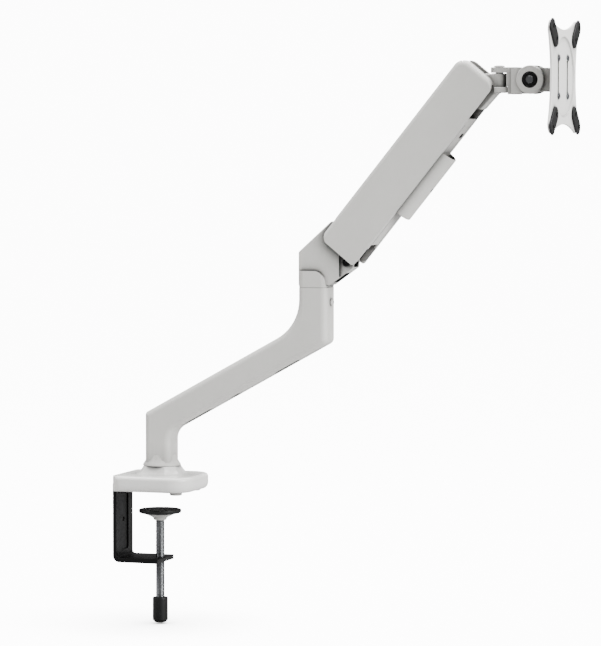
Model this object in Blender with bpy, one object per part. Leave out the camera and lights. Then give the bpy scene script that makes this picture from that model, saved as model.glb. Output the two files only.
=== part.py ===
"""Desk-clamp monitor arm with a gas-spring upper arm, as separate named pieces.

Frame: +Z up, +X from the desk clamp towards the monitor, origin on the desk top
under the lower column's axis. Sizes below are in millimetres and angles in degrees;
meshes are made in metres.
"""

import math

import bmesh
import bpy
from mathutils import Matrix, Vector

MM = 0.001
GAP = 0.3
THROUGH = 30.0

# Base and desk clamp
FOOT_HEIGHT = 3.0
BASE_BACK = -42.1
BASE_FRONT = 43.0
BASE_HALF_WIDTH = 42.0
BASE_TOP = 19.3
BOSS_TOP = 28.3
BOSS_RADIUS = 20.0
BACK_CORNER = 11.0
FRONT_CORNER = 22.0
FOOT_RADIUS = 6.5
FRONT_FOOT = (26.0, 27.0)
REAR_PAD_BACK = -40.0
REAR_PAD_FRONT = -31.0
REAR_PAD_HALF = 24.0
BRACKET_WIDTH = 48.0
BRACKET_THICKNESS = 4.0
BRACKET_TOP = 10.0
BRACKET_BOTTOM = -73.4
BRACKET_REACH = 4.0
BRACKET_SCREW_SPREAD = 14.0
BRACKET_SCREW_LEVEL = 6.0
BRACKET_HOLE_LEVEL = -30.2
CLAMP_X = -2.2
CLAMP_PAD_TOP = -18.0
CLAMP_PAD_RADIUS = 22.4
CLAMP_ROD_RADIUS = 4.75
CLAMP_ROD_BOTTOM = -124.5
CLAMP_HUB_RADIUS = 15.0
GRIP_TOP = -110.9
GRIP_BOTTOM = -137.4
GRIP_RADIUS = 8.1

# Lower arm
ARM_BOTTOM = 28.7
ARM_HALF_WIDTH = 15.5
COLUMN_HALF = 14.2
BEAM_ANGLE = 28.95
BEAM_BACK_TOP = 84.4
BEAM_UNDER_FRONT = 65.6
ELBOW_X = 171.4
ELBOW_HALF = 15.6
ELBOW_SEAM = 218.1
POST_RADIUS = 9.0
POST_TOP = 73.0
BUSH_RADIUS = 11.2
BASE_TENSION_LEVEL = 41.5
ELBOW_TENSION_LEVEL = 203.0
CHANNEL_START = 24.0
CHANNEL_RUN = 172.0
CHANNEL_HALF = 9.0
WINDOW_HALF = 6.8

# Elbow bracket
COLLAR_TOP = 235.4
BRACKET_BACK_TOP = 254.7
APEX = (192.5, 287.9)
ROOT_HALF_WIDTH = 13.0
TONGUE_START = 200.0
TONGUE_HALF_WIDTH = 10.8
SPRING_SLOT_HALF = 7.2
NOTCH_HALF = 11.3

# Upper arm, measured from the elbow pivot along and square to the arm
ARM_ANGLE = 51.0
ARM_LENGTH = 210.0
ELBOW_PIVOT = (203.0, 262.0)
LINK_OFFSET = (4.66, -17.39)
COVER_HALF_WIDTH = 18.0
COVER_WALL = 2.6
COVER_LOW = -23.9
COVER_HIGH = 22.6
COVER_START = -7.9
COVER_END = 230.6
FRAME_INNER = 13.3
FRAME_OUTER = 15.0
LINK_INNER = 11.1
LINK_OUTER = 13.0
MAIN_PIN_RADIUS = 4.0
LINK_PIN_RADIUS = 2.5
SPRING_PIN = (-8.34, -8.3)
SPRING_PIN_RADIUS = 2.2
SPRING_LEVEL = -10.1
CLIP_START = 63.1
CLIP_END = 141.6
CLIP_HALF_WIDTH = 13.0
CLIP_DEPTH = 12.4
CLIP_WALL = 1.8
BOTTOM_START = 14.6
BOTTOM_END = 185.6
BOTTOM_THICKNESS = 1.5
UNDERSIDE_SCREW = (163.6, 5.0)
SMALL_SCREW_HOLE = 1.7
CYLINDER_START = 43.6
CYLINDER_END = 138.6
CYLINDER_RADIUS = 8.8
CARRIAGE_START = 148.6
CARRIAGE_END = 160.6
ROD_RADIUS = 3.5
ROD_END = 62.0
EYE_RADIUS = 7.5

# Head
SWIVEL_X = 366.2
HEAD_BOSS_RADIUS = 8.3
HEAD_BOSS_TOP = 437.0
HEAD_BOTTOM = 417.9
HEAD_LEDGE_TOP = 423.3
HEAD_LEDGE_RADIUS = 13.3
NECK_HALF_WIDTH = 8.3
YOKE_TOP = 443.4
YOKE_BOTTOM = 416.0
YOKE_BODY_START = 375.9
TILT_AXIS = (401.7, 430.8)
HEAD_BOLT_RADIUS = 4.0
EAR_RADIUS = 14.5
EAR_OUTER = 14.0
KNUCKLE_HALF_WIDTH = 8.7

# Monitor plate
PLATE_CENTRE = 433.3
PLATE_BACK = 431.2
PLATE_FRONT = 433.8
PLATE_RECESS_FACE = 432.4
PLATE_HALF = 56.5
LOBE_RADIUS = 10.5
SIDE_HOLLOW = 10.0
END_HOLLOW = 9.0
RECESS_RADIUS = 40.0
HUB_RADIUS = 27.0
HUB_BACK = 421.8
SHAFT_RADIUS = 5.0
SLOT_SPREAD = 17.65
SLOT_HALF = 19.0
SLOT_RADIUS = 2.3
MOUNT_SQUARES = (75.0, 100.0)
MOUNT_HOLE_RADIUS = 2.4
PAD_CENTRE = 43.75
PAD_LENGTH = 34.0
PAD_WIDTH = 16.0
PAD_THICKNESS = 2.1

MATERIALS = {
    "white_cast": ((0.80, 0.80, 0.78), 0.35, 0.0),
    "grey_cast": ((0.53, 0.53, 0.51), 0.42, 0.0),
    "grey_plastic": ((0.50, 0.50, 0.48), 0.50, 0.0),
    "head_cast": ((0.42, 0.42, 0.40), 0.42, 0.0),
    "black_steel": ((0.03, 0.03, 0.03), 0.45, 0.0),
    "black_plastic": ((0.02, 0.02, 0.02), 0.55, 0.0),
    "rubber": ((0.03, 0.03, 0.03), 0.80, 0.0),
    "grey_rubber": ((0.55, 0.55, 0.52), 0.75, 0.0),
    "steel": ((0.55, 0.55, 0.55), 0.30, 1.0),
    "nylon": ((0.70, 0.68, 0.62), 0.55, 0.0),
}


# ---------------------------------------------------------------- outlines

def arc_points(centre, radius, start, end, steps):
    """Points on a circle from the start angle to the end angle, in degrees."""
    points = []
    for i in range(steps + 1):
        angle = math.radians(start + (end - start) * i / steps)
        points.append((centre[0] + radius * math.cos(angle), centre[1] + radius * math.sin(angle)))
    return points


def round_corners(corners):
    """Turn (u, v, radius) corners into a closed outline; a zero radius stays sharp."""
    outline = []
    count = len(corners)
    for i, (u, v, radius) in enumerate(corners):
        here = Vector((u, v))
        if radius <= 0:
            outline.append((u, v))
            continue
        back = (Vector(corners[i - 1][:2]) - here).normalized()
        ahead = (Vector(corners[(i + 1) % count][:2]) - here).normalized()
        half = back.angle(ahead) / 2
        middle = here + (back + ahead).normalized() * (radius / math.sin(half))
        first = here + back * (radius / math.tan(half)) - middle
        last = here + ahead * (radius / math.tan(half)) - middle
        turn = first.angle_signed(last)
        steps = max(2, round(math.degrees(abs(turn)) / 15))
        for k in range(steps + 1):
            outline.append(tuple(middle + Matrix.Rotation(-turn * k / steps, 2) @ first))
    return outline


def inset_corners(corners, distance, kept=()):
    """Move each side of the corner polygon inwards; sides whose index is in kept stay."""
    count = len(corners)
    area = sum(corners[i - 1][0] * corners[i][1] - corners[i][0] * corners[i - 1][1] for i in range(count))
    side = 1 if area > 0 else -1
    lines = []
    for i in range(count):
        start = Vector(corners[i][:2])
        along = (Vector(corners[(i + 1) % count][:2]) - start).normalized()
        inward = Vector((-along.y, along.x)) * side
        lines.append((start + inward * (0 if i in kept else distance), along))
    moved = []
    for i, (_, _, radius) in enumerate(corners):
        (p, d), (q, e) = lines[i - 1], lines[i]
        cross = d.x * e.y - d.y * e.x
        along = ((q - p).x * e.y - (q - p).y * e.x) / cross
        point = p + d * along
        if radius > 0:
            radius = max(0.3, radius - distance) if cross * side > 0 else radius + distance
        moved.append((point.x, point.y, radius))
    return moved


# ---------------------------------------------------------------- solids

def finish_mesh(name, builder, material, smooth_angle=35):
    """Make an object from a bmesh in millimetres, with outward faces and one material."""
    bmesh.ops.scale(builder, vec=(MM, MM, MM), verts=builder.verts)
    bmesh.ops.recalc_face_normals(builder, faces=builder.faces)
    mesh = bpy.data.meshes.new(name)
    builder.to_mesh(mesh)
    builder.free()
    mesh.shade_smooth()
    mesh.set_sharp_from_angle(angle=math.radians(smooth_angle))
    mesh.materials.append(bpy.data.materials[material])
    piece = bpy.data.objects.new(name, mesh)
    bpy.context.scene.collection.objects.link(piece)
    return piece


def loft(name, sections, material, ring=False):
    """Join point loops of equal length into a solid; a ring joins the last to the first."""
    builder = bmesh.new()
    loops = [[builder.verts.new(point) for point in section] for section in sections]
    pairs = list(zip(loops, loops[1:]))
    if ring:
        pairs.append((loops[-1], loops[0]))
    for low, high in pairs:
        for i in range(len(low)):
            builder.faces.new((low[i - 1], low[i], high[i], high[i - 1]))
    if not ring:
        builder.faces.new(loops[0])
        builder.faces.new(loops[-1])
    return finish_mesh(name, builder, material)


def side_plate(name, corners, low, high, material, edge=0.0, kept=()):
    """A profile in the XZ plane, from Y = low to Y = high, with rounded long edges."""
    steps = 3 if edge > 0 else 0
    stations = []
    for k in range(steps):
        angle = math.pi / 2 * k / steps
        stations.append((low + edge * (1 - math.cos(angle)), edge * (1 - math.sin(angle))))
    stations.append((low + edge, 0.0))
    stations += [(low + high - y, inset) for y, inset in reversed(stations)]
    sections = []
    for y, inset in stations:
        outline = round_corners(inset_corners(corners, inset, kept))
        sections.append([(u, y, v) for u, v in outline])
    return loft(name, sections, material)


def flat_plate(name, outline, low, high, material):
    """A plan outline in XY from Z = low to Z = high."""
    return loft(name, [[(x, y, z) for x, y in outline] for z in (low, high)], material)


def front_plate(name, outline, low, high, material):
    """An outline in YZ from X = low to X = high."""
    return loft(name, [[(x, y, z) for y, z in outline] for x in (low, high)], material)


def circle(radius, z, steps):
    """A circle round the Z axis."""
    return [(x, y, z) for x, y in arc_points((0, 0), radius, 0, 360, steps)[:-1]]


def turned(name, profile, material, steps=28, ring=False):
    """A solid turned round Z from (radius, z) steps; a ring profile is a closed loop."""
    return loft(name, [circle(radius, z, steps) for radius, z in profile], material, ring)


def place(piece, location, axis=(0, 0, 1)):
    """Put a piece made round Z at a point, with its Z axis along the given direction."""
    turn = Vector((0, 0, 1)).rotation_difference(Vector(axis)).to_matrix().to_4x4()
    piece.matrix_world = Matrix.Translation(Vector(location) * MM) @ turn
    return piece


def pin(name, start, end, radius, material, steps=16):
    """A plain round pin between two points."""
    length = (Vector(end) - Vector(start)).length
    rim = min(0.4, radius / 4)
    profile = [(radius - rim, 0), (radius, rim), (radius, length - rim), (radius - rim, length)]
    return place(turned(name, profile, material, steps), start, Vector(end) - Vector(start))


def headed(name, seat, axis, head, shank, material, steps=12):
    """A screw: its head stands out along the axis from the seat, its shank goes back."""
    head_radius, head_height = head
    shank_radius, shank_length = shank
    profile = [
        (shank_radius * 0.8, -shank_length),
        (shank_radius, -shank_length + 0.5),
        (shank_radius, 0),
        (head_radius, 0),
        (head_radius, head_height * 0.6),
        (head_radius * 0.75, head_height),
    ]
    return place(turned(name, profile, material, steps), seat, axis)


def block(name, low, high, material="steel"):
    """A plain box between two corners."""
    (x0, y0, z0), (x1, y1, z1) = low, high
    outline = [(x0, y0), (x1, y0), (x1, y1), (x0, y1)]
    return flat_plate(name, outline, z0, z1, material)


def combine(piece, other, operation):
    """Apply a Boolean of another solid to the piece, and remove the other solid."""
    bpy.context.view_layer.update()
    modifier = piece.modifiers.new("shape", "BOOLEAN")
    modifier.operation = operation
    modifier.solver = "EXACT"
    modifier.object = other
    bpy.context.view_layer.update()
    graph = bpy.context.evaluated_depsgraph_get()
    mesh = bpy.data.meshes.new_from_object(piece.evaluated_get(graph))
    piece.modifiers.remove(modifier)
    old, piece.data = piece.data, mesh
    name = piece.name
    bpy.data.meshes.remove(old)
    mesh.name = name
    mesh.shade_smooth()
    mesh.set_sharp_from_angle(angle=math.radians(35))
    bpy.data.objects.remove(other)
    return piece


def cut(piece, *cutters):
    """Take solids away from the piece."""
    for cutter in cutters:
        combine(piece, cutter, "DIFFERENCE")
    return piece


def join(piece, *others):
    """Add solids to the piece."""
    for other in others:
        combine(piece, other, "UNION")
    return piece


def drill(piece, start, end, radius, steps=16):
    """Drill a round hole through the piece from start to end."""
    length = (Vector(end) - Vector(start)).length
    tool = turned("drill", [(radius, 0), (radius, length)], "steel", steps)
    place(tool, start, Vector(end) - Vector(start))
    return cut(piece, tool)


# ---------------------------------------------------------------- placement frames

def drill_across(piece, x, z, radius):
    """Bore a hole straight across a piece, at x and z of the frame it is modelled in."""
    return drill(piece, (x, -THROUGH, z), (x, THROUGH, z), radius)


def arm_to_world(along, up, across=0.0):
    """A point measured from the elbow pivot along and square to the upper arm."""
    angle = math.radians(ARM_ANGLE)
    x = ELBOW_PIVOT[0] + along * math.cos(angle) - up * math.sin(angle)
    z = ELBOW_PIVOT[1] + along * math.sin(angle) + up * math.cos(angle)
    return (x, across, z)


def lay_along(piece, origin, angle):
    """Turn a piece modelled along X so that it rises at the angle from the origin."""
    turn = Matrix.Rotation(-math.radians(angle), 4, "Y")
    piece.matrix_world = Matrix.Translation(Vector(origin) * MM) @ turn
    return piece


def on_arm(piece):
    """Put a piece modelled in the upper arm's own frame in place."""
    turn = Matrix.Rotation(-math.radians(ARM_ANGLE), 4, "Y")
    shift = Matrix.Translation(Vector((ELBOW_PIVOT[0], 0, ELBOW_PIVOT[1])) * MM)
    piece.matrix_world = shift @ turn @ piece.matrix_basis
    return piece


def group(name, location, pieces):
    """An empty on a joint's axis, which carries the pieces that move with it."""
    empty = bpy.data.objects.new(name, None)
    bpy.context.scene.collection.objects.link(empty)
    empty.matrix_world = Matrix.Translation(Vector(location) * MM)
    bpy.context.view_layer.update()
    for piece in pieces:
        world = piece.matrix_world.copy()
        piece.parent = empty
        piece.matrix_parent_inverse = empty.matrix_world.inverted()
        piece.matrix_world = world
    return empty


# ---------------------------------------------------------------- base and clamp

def make_base():
    """Base casting on its feet, the pivot post, and the clamp bracket behind."""
    back = (BASE_BACK, BACK_CORNER)
    front = (BASE_FRONT, FRONT_CORNER)
    half = BASE_HALF_WIDTH

    def plan(inset, z):
        corners = [
            (back[0], -half + inset, back[1] - inset),
            (front[0] - inset, -half + inset, front[1] - inset),
            (front[0] - inset, half - inset, front[1] - inset),
            (back[0], half - inset, back[1] - inset),
        ]
        return [(x, y, z) for x, y in round_corners(corners)]

    def boss(radius, z):
        ring = []
        for x, y, _ in plan(0, z):
            scale = radius / math.hypot(x, y)
            ring.append((x * scale, y * scale, z))
        return ring

    sections = [
        plan(5, FOOT_HEIGHT),
        plan(2.4, FOOT_HEIGHT + 1.2),
        plan(0.7, FOOT_HEIGHT + 3.6),
        plan(0, FOOT_HEIGHT + 7),
        plan(0.4, BASE_TOP - 3.5),
        plan(1.6, BASE_TOP - 1.2),
        plan(4, BASE_TOP),
        boss(BOSS_RADIUS + 8, BASE_TOP + 0.9),
        boss(BOSS_RADIUS + 4, BASE_TOP + 3.6),
        boss(BOSS_RADIUS + 0.8, BOSS_TOP - 1),
        boss(BOSS_RADIUS, BOSS_TOP),
    ]
    casting = loft("base_casting", sections, "white_cast")
    drill(casting, (0, 0, -1), (0, 0, BOSS_TOP + 5), POST_RADIUS + GAP, 32)
    drill(casting, (0, 0, -1), (0, 0, 9.3), 13.3, 32)
    pieces = [casting]
    post_profile = [
        (12.9, 5),
        (12.9, 9),
        (POST_RADIUS, 9),
        (POST_RADIUS, POST_TOP - 1),
        (POST_RADIUS - 1, POST_TOP),
    ]
    pieces.append(turned("pivot_post", post_profile, "steel"))
    pieces.append(turned("centre_pad", [(9.7, 0), (9.7, 4.7)], "rubber"))
    washer = [(12, 28.6), (17, 28.6), (17, 29.6), (12, 29.6)]
    pieces.append(turned("base_washer", washer, "nylon", ring=True))
    foot_x, spread = FRONT_FOOT
    foot_top = FOOT_HEIGHT - GAP
    foot_profile = [(FOOT_RADIUS - 0.9, 0), (FOOT_RADIUS, 0.8), (FOOT_RADIUS, foot_top)]
    for side, y in (("near", -spread), ("far", spread)):
        foot = turned(f"front_foot_{side}", foot_profile, "grey_rubber", 24)
        pieces.append(place(foot, (foot_x, y, 0)))
    heel, toe, side = REAR_PAD_BACK, REAR_PAD_FRONT, REAR_PAD_HALF
    rear = [(heel, -side), (toe, -side), (toe, side), (heel, side)]
    pieces.append(flat_plate("rear_pad", rear, 0, foot_top, "rubber"))

    outer = BASE_BACK - GAP - BRACKET_THICKNESS
    inner = BASE_BACK - GAP
    corners = [
        (outer, BRACKET_TOP, 0),
        (outer, BRACKET_BOTTOM, 7),
        (BRACKET_REACH, BRACKET_BOTTOM, 0),
        (BRACKET_REACH, BRACKET_BOTTOM + 5, 0),
        (inner, BRACKET_BOTTOM + 5, 3),
        (inner, BRACKET_TOP, 0),
    ]
    half_bracket = BRACKET_WIDTH / 2
    bracket = side_plate("clamp_bracket", corners, -half_bracket, half_bracket, "black_steel")
    cut(bracket, block("recess", (inner - 1.2, -11, -62), (inner + 1, 11, 1)))
    hole = BRACKET_HOLE_LEVEL
    drill(bracket, (outer - 5, 0, hole), (inner + 5, 0, hole), 2.6)
    drill(bracket, (CLAMP_X, 0, -90), (CLAMP_X, 0, -60), CLAMP_ROD_RADIUS + GAP, 32)
    screw_z = BRACKET_SCREW_LEVEL
    for side, y in (("near", -BRACKET_SCREW_SPREAD), ("far", BRACKET_SCREW_SPREAD)):
        drill(bracket, (outer - 5, y, screw_z), (inner + 5, y, screw_z), 2.0)
        drill(casting, (BASE_BACK - 5, y, screw_z), (BASE_BACK + 12, y, screw_z), 2.0)
        seat = (outer - GAP, y, screw_z)
        screw = headed(f"bracket_screw_{side}", seat, (-1, 0, 0), (3.3, 2.0), (1.6, 14), "black_steel")
        pieces.append(screw)
    pieces.append(bracket)
    return group("base", (0, 0, 0), pieces)


def make_clamp():
    """Pressure pad with its hub, and the turning screw with its grip."""
    top = CLAMP_PAD_TOP
    pad_profile = [
        (CLAMP_PAD_RADIUS - 1.8, top - 4.2),
        (CLAMP_PAD_RADIUS, top - 2.9),
        (CLAMP_PAD_RADIUS, top - 1),
        (CLAMP_PAD_RADIUS - 1, top),
    ]
    pad = place(turned("clamp_pad", pad_profile, "black_plastic"), (CLAMP_X, 0, 0))
    hub_top = top - 4.2 - GAP
    rim = CLAMP_HUB_RADIUS
    hub_profile = [(6.4, top - 11.5), (8, top - 8.5), (rim, hub_top - 0.8), (rim, hub_top)]
    hub = place(turned("clamp_pad_hub", hub_profile, "grey_plastic"), (CLAMP_X, 0, 0))
    drill(hub, (CLAMP_X, 0, top - 20), (CLAMP_X, 0, top - 6.5), CLAMP_ROD_RADIUS + GAP, 32)
    ends = ((CLAMP_X, 0, CLAMP_ROD_BOTTOM), (CLAMP_X, 0, top - 6.9))
    rod = pin("clamp_screw", *ends, CLAMP_ROD_RADIUS, "steel")
    grip_profile = [
        (GRIP_RADIUS - 2.2, GRIP_BOTTOM),
        (GRIP_RADIUS, GRIP_BOTTOM + 2.6),
        (GRIP_RADIUS, GRIP_TOP - 0.8),
        (GRIP_RADIUS - 0.8, GRIP_TOP),
    ]
    grip = place(turned("clamp_grip", grip_profile, "black_plastic"), (CLAMP_X, 0, 0))
    ends = ((CLAMP_X, 0, CLAMP_ROD_BOTTOM - 0.5), (CLAMP_X, 0, GRIP_TOP + 10))
    drill(grip, *ends, CLAMP_ROD_RADIUS + GAP, 32)
    group("clamp_slide", (CLAMP_X, 0, top), [pad, hub])
    group("clamp_screw_axis", (CLAMP_X, 0, top), [rod, grip])


# ---------------------------------------------------------------- lower arm

def underside(x):
    """Height of the beam's underside over the lower arm's plane at x."""
    return BEAM_UNDER_FRONT + math.tan(math.radians(BEAM_ANGLE)) * (x - COLUMN_HALF)


def make_lower_arm():
    """Cast lower arm with its bushes, cable cover and tension screws."""
    slope = math.tan(math.radians(BEAM_ANGLE))
    elbow_back = ELBOW_X - ELBOW_HALF
    elbow_front = ELBOW_X + ELBOW_HALF
    corners = [
        (-COLUMN_HALF, ARM_BOTTOM, 0),
        (COLUMN_HALF, ARM_BOTTOM, 0),
        (COLUMN_HALF, BEAM_UNDER_FRONT, 16),
        (elbow_front, underside(elbow_front), 7),
        (elbow_front, ELBOW_SEAM, 0),
        (elbow_back, ELBOW_SEAM, 0),
        (elbow_back, BEAM_BACK_TOP + slope * (elbow_back + COLUMN_HALF), 46),
        (-COLUMN_HALF, BEAM_BACK_TOP, 4),
    ]
    half = ARM_HALF_WIDTH
    arm = side_plate("lower_arm_casting", corners, -half, half, "grey_cast", edge=6, kept=(0, 4))
    flare = [(20, ARM_BOTTOM), (19.4, 30.5), (17.6, 33), (16.2, 37), (14, 40)]
    join(arm, turned("flare", flare, "grey_cast"))
    drill(arm, (0, 0, 0), (0, 0, 76), BUSH_RADIUS + GAP, 32)
    drill(arm, (0, 0, 0), (0, 0, ARM_BOTTOM + 1.2), 17.3, 32)
    drill(arm, (ELBOW_X, 0, 173), (ELBOW_X, 0, 240), BUSH_RADIUS + GAP, 32)
    lower, upper = BASE_TENSION_LEVEL, ELBOW_TENSION_LEVEL
    drill(arm, (-25, 0, lower), (0, 0, lower), 3.3)
    drill(arm, (ELBOW_X, 0, upper), (ELBOW_X + 25, 0, upper), 2.9)

    start = (CHANNEL_START, 0, underside(CHANNEL_START))
    run = CHANNEL_RUN
    wide = CHANNEL_HALF
    channel = block("channel", (0, -wide, -5), (run, wide, 13))
    cut(arm, lay_along(channel, start, BEAM_ANGLE))
    ends = ((0.4, -wide + 0.4, 0.4), (run - 0.4, wide - 0.4, 2.8))
    cover = block("lower_cable_cover", *ends, "grey_plastic")
    for low, high in ((0.02, 0.21), (0.36, 0.42), (0.68, 0.85)):
        window = block("window", (low * run, -WINDOW_HALF, -2), (high * run, WINDOW_HALF, 5))
        cut(cover, window)
    lay_along(cover, start, BEAM_ANGLE)

    pieces = [arm, cover]
    for name, x, low, high in (("lower_bush", 0, 30.2, 74), ("elbow_bush", ELBOW_X, 176, 217.8)):
        inner = POST_RADIUS + GAP
        profile = [(inner, low), (BUSH_RADIUS, low), (BUSH_RADIUS, high), (inner, high)]
        pieces.append(place(turned(name, profile, "nylon", ring=True), (x, 0, 0)))
    ends = ((-16.4, 0, lower), (-11.6, 0, lower))
    pieces.append(pin("base_tension_screw", *ends, 3.0, "black_steel"))
    seat = (elbow_front + GAP, 0, upper)
    pieces.append(headed("elbow_tension_screw", seat, (1, 0, 0), (4, 2.8), (2.6, 4), "black_steel"))
    return group("lower_arm", (0, 0, ARM_BOTTOM), pieces)


# ---------------------------------------------------------------- elbow

def make_elbow():
    """Elbow bracket on its shaft, with the pins of the arm, the links and the spring."""
    back = ELBOW_X - ELBOW_HALF
    bottom = ELBOW_SEAM + 0.4
    pivot = Vector(ELBOW_PIVOT)
    link = pivot + Vector(LINK_OFFSET)
    outline = [(back, bottom + 2), (188.3, bottom + 2), (214.2, 239.0), (215.2, 250.0)]
    outline += arc_points(pivot, 12.5, -10, 75, 6)
    outline += [APEX, (back, BRACKET_BACK_TOP)]
    half = ROOT_HALF_WIDTH
    body = loft("elbow_bracket", [[(x, y, z) for x, z in outline] for y in (-half, half)], "grey_cast")
    for sign in (-1, 1):
        low, high = sorted((sign * TONGUE_HALF_WIDTH, sign * 20))
        cut(body, block("side_step", (TONGUE_START, low, 200), (240, high, 300)))
    corners = [
        (back, bottom, 0),
        (ELBOW_X + ELBOW_HALF, bottom, 0),
        (ELBOW_X + ELBOW_HALF, COLLAR_TOP, 13),
        (back, COLLAR_TOP, 0),
    ]
    wide = ARM_HALF_WIDTH
    join(body, side_plate("collar", corners, -wide, wide, "grey_cast", edge=6, kept=(0, 2)))
    drill(body, (ELBOW_X, 0, 200), (ELBOW_X, 0, 232.5), POST_RADIUS + GAP, 32)
    drill(body, (ELBOW_X, 0, 200), (ELBOW_X, 0, bottom + 1.2), 14.3, 32)
    slot = SPRING_SLOT_HALF
    cut(body, block("spring_slot", (192, -slot, 239.5), (250, slot, 320)))
    recess = block("recess", (5, -8, -3), (22, 8, 5))
    cut(body, lay_along(recess, (188.3, 0, bottom + 2), 36))

    drill_across(body, *pivot, MAIN_PIN_RADIUS + GAP)
    drill_across(body, *link, LINK_PIN_RADIUS + GAP)
    spring = arm_to_world(*SPRING_PIN)
    drill_across(body, spring[0], spring[2], SPRING_PIN_RADIUS + GAP)
    reach = FRAME_OUTER
    pieces = [body]
    near_slot = SPRING_SLOT_HALF + GAP
    for side, sign in (("near", -1), ("far", 1)):
        ends = ((pivot.x, sign * near_slot, pivot.y), (pivot.x, sign * reach, pivot.y))
        pieces.append(pin(f"elbow_main_pin_{side}", *ends, MAIN_PIN_RADIUS, "steel"))
    ends = ((spring[0], -10.5, spring[2]), (spring[0], 10.5, spring[2]))
    pieces.append(pin("spring_pin", *ends, SPRING_PIN_RADIUS, "steel"))
    for side, sign in (("near", -1), ("far", 1)):
        ends = ((link.x, sign * near_slot, link.y), (link.x, sign * LINK_OUTER, link.y))
        pieces.append(pin(f"elbow_link_screw_{side}", *ends, LINK_PIN_RADIUS, "steel"))
    pieces.append(pin("elbow_shaft", (ELBOW_X, 0, 175), (ELBOW_X, 0, 232.2), POST_RADIUS, "steel", 32))
    low = bottom - 0.1
    washer = [(12, low), (14, low), (14, low + 1), (12, low + 1)]
    pieces.append(place(turned("elbow_washer", washer, "nylon", ring=True), (ELBOW_X, 0, 0)))
    return group("elbow", (ELBOW_X, 0, bottom), pieces)


# ---------------------------------------------------------------- upper arm

def make_cover():
    """Cover shell: two sides, a top and an end wall, open below and at the elbow."""
    half = COVER_HALF_WIDTH
    inner = half - COVER_WALL
    corners = [
        (COVER_START, COVER_LOW, 9),
        (COVER_END, COVER_LOW, 10),
        (COVER_END, COVER_HIGH, 12),
        (COVER_START, COVER_HIGH, 9),
    ]
    cover = side_plate("upper_arm_cover", corners, -half, half, "grey_cast", edge=5, kept=(0, 3))
    roof = COVER_HIGH - COVER_WALL
    end = COVER_END
    return cut(
        cover,
        block("cavity", (COVER_START - 5, -inner, COVER_LOW - 5), (end - 3, inner, roof)),
        block("notch", (COVER_START - 5, -inner, 5), (17.6, inner, COVER_HIGH + 5)),
        block("head_slot", (end - 12, -9, COVER_LOW - 5), (end + 5, 9, COVER_HIGH + 5)),
    )


def make_frame():
    """Steel channel inside the cover: two cheeks on the main pins and a web above."""
    flange = [
        (-6.5, -6.5, 6),
        (ARM_LENGTH + 6.5, -6.5, 6),
        (ARM_LENGTH + 6.5, 10, 6),
        (ARM_LENGTH - 20, 18.4, 3),
        (20, 18.4, 3),
        (-6.5, 10, 6),
    ]
    frame = side_plate("upper_arm_frame", flange, -FRAME_OUTER, FRAME_OUTER, "black_steel")
    gap = FRAME_INNER
    cut(
        frame,
        block("inside", (-20, -gap, -20), (ARM_LENGTH + 20, gap, 16.7)),
        block("elbow_end", (-20, -gap, 10), (20.6, gap, 30)),
        block("head_end", (ARM_LENGTH - 25, -gap, 10), (ARM_LENGTH + 20, gap, 30)),
    )
    for along in (0, ARM_LENGTH):
        drill_across(frame, along, 0, MAIN_PIN_RADIUS + GAP)
    return frame


def make_clip():
    """Half-round cable clip under the arm, open at both ends for the cables."""
    top = COVER_LOW - GAP
    width, depth, wall = CLIP_HALF_WIDTH, CLIP_DEPTH, CLIP_WALL
    outside = [(-width, top)]
    inside = [(-width + wall, top - wall)]
    for k in range(1, 12):
        turn = math.pi * k / 12
        outside.append((-width * math.cos(turn), top - depth * math.sin(turn)))
        reach = (depth - 2 * wall) * math.sin(turn)
        inside.append((-(width - wall) * math.cos(turn), top - wall - reach))
    outside.append((width, top))
    inside.append((width - wall, top - wall))
    clip = front_plate("cable_clip", outside, CLIP_START, CLIP_END, "grey_plastic")
    cut(clip, front_plate("hollow", inside, CLIP_START - 5, CLIP_END + 5, "steel"))
    middle = (CLIP_START + CLIP_END) / 2
    drill(clip, (middle, 0, top - 20), (middle, 0, top - 6), 2.9)
    drill(clip, (middle, 0, top - 6), (middle, 0, top + 5), SMALL_SCREW_HOLE)
    return clip


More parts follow.
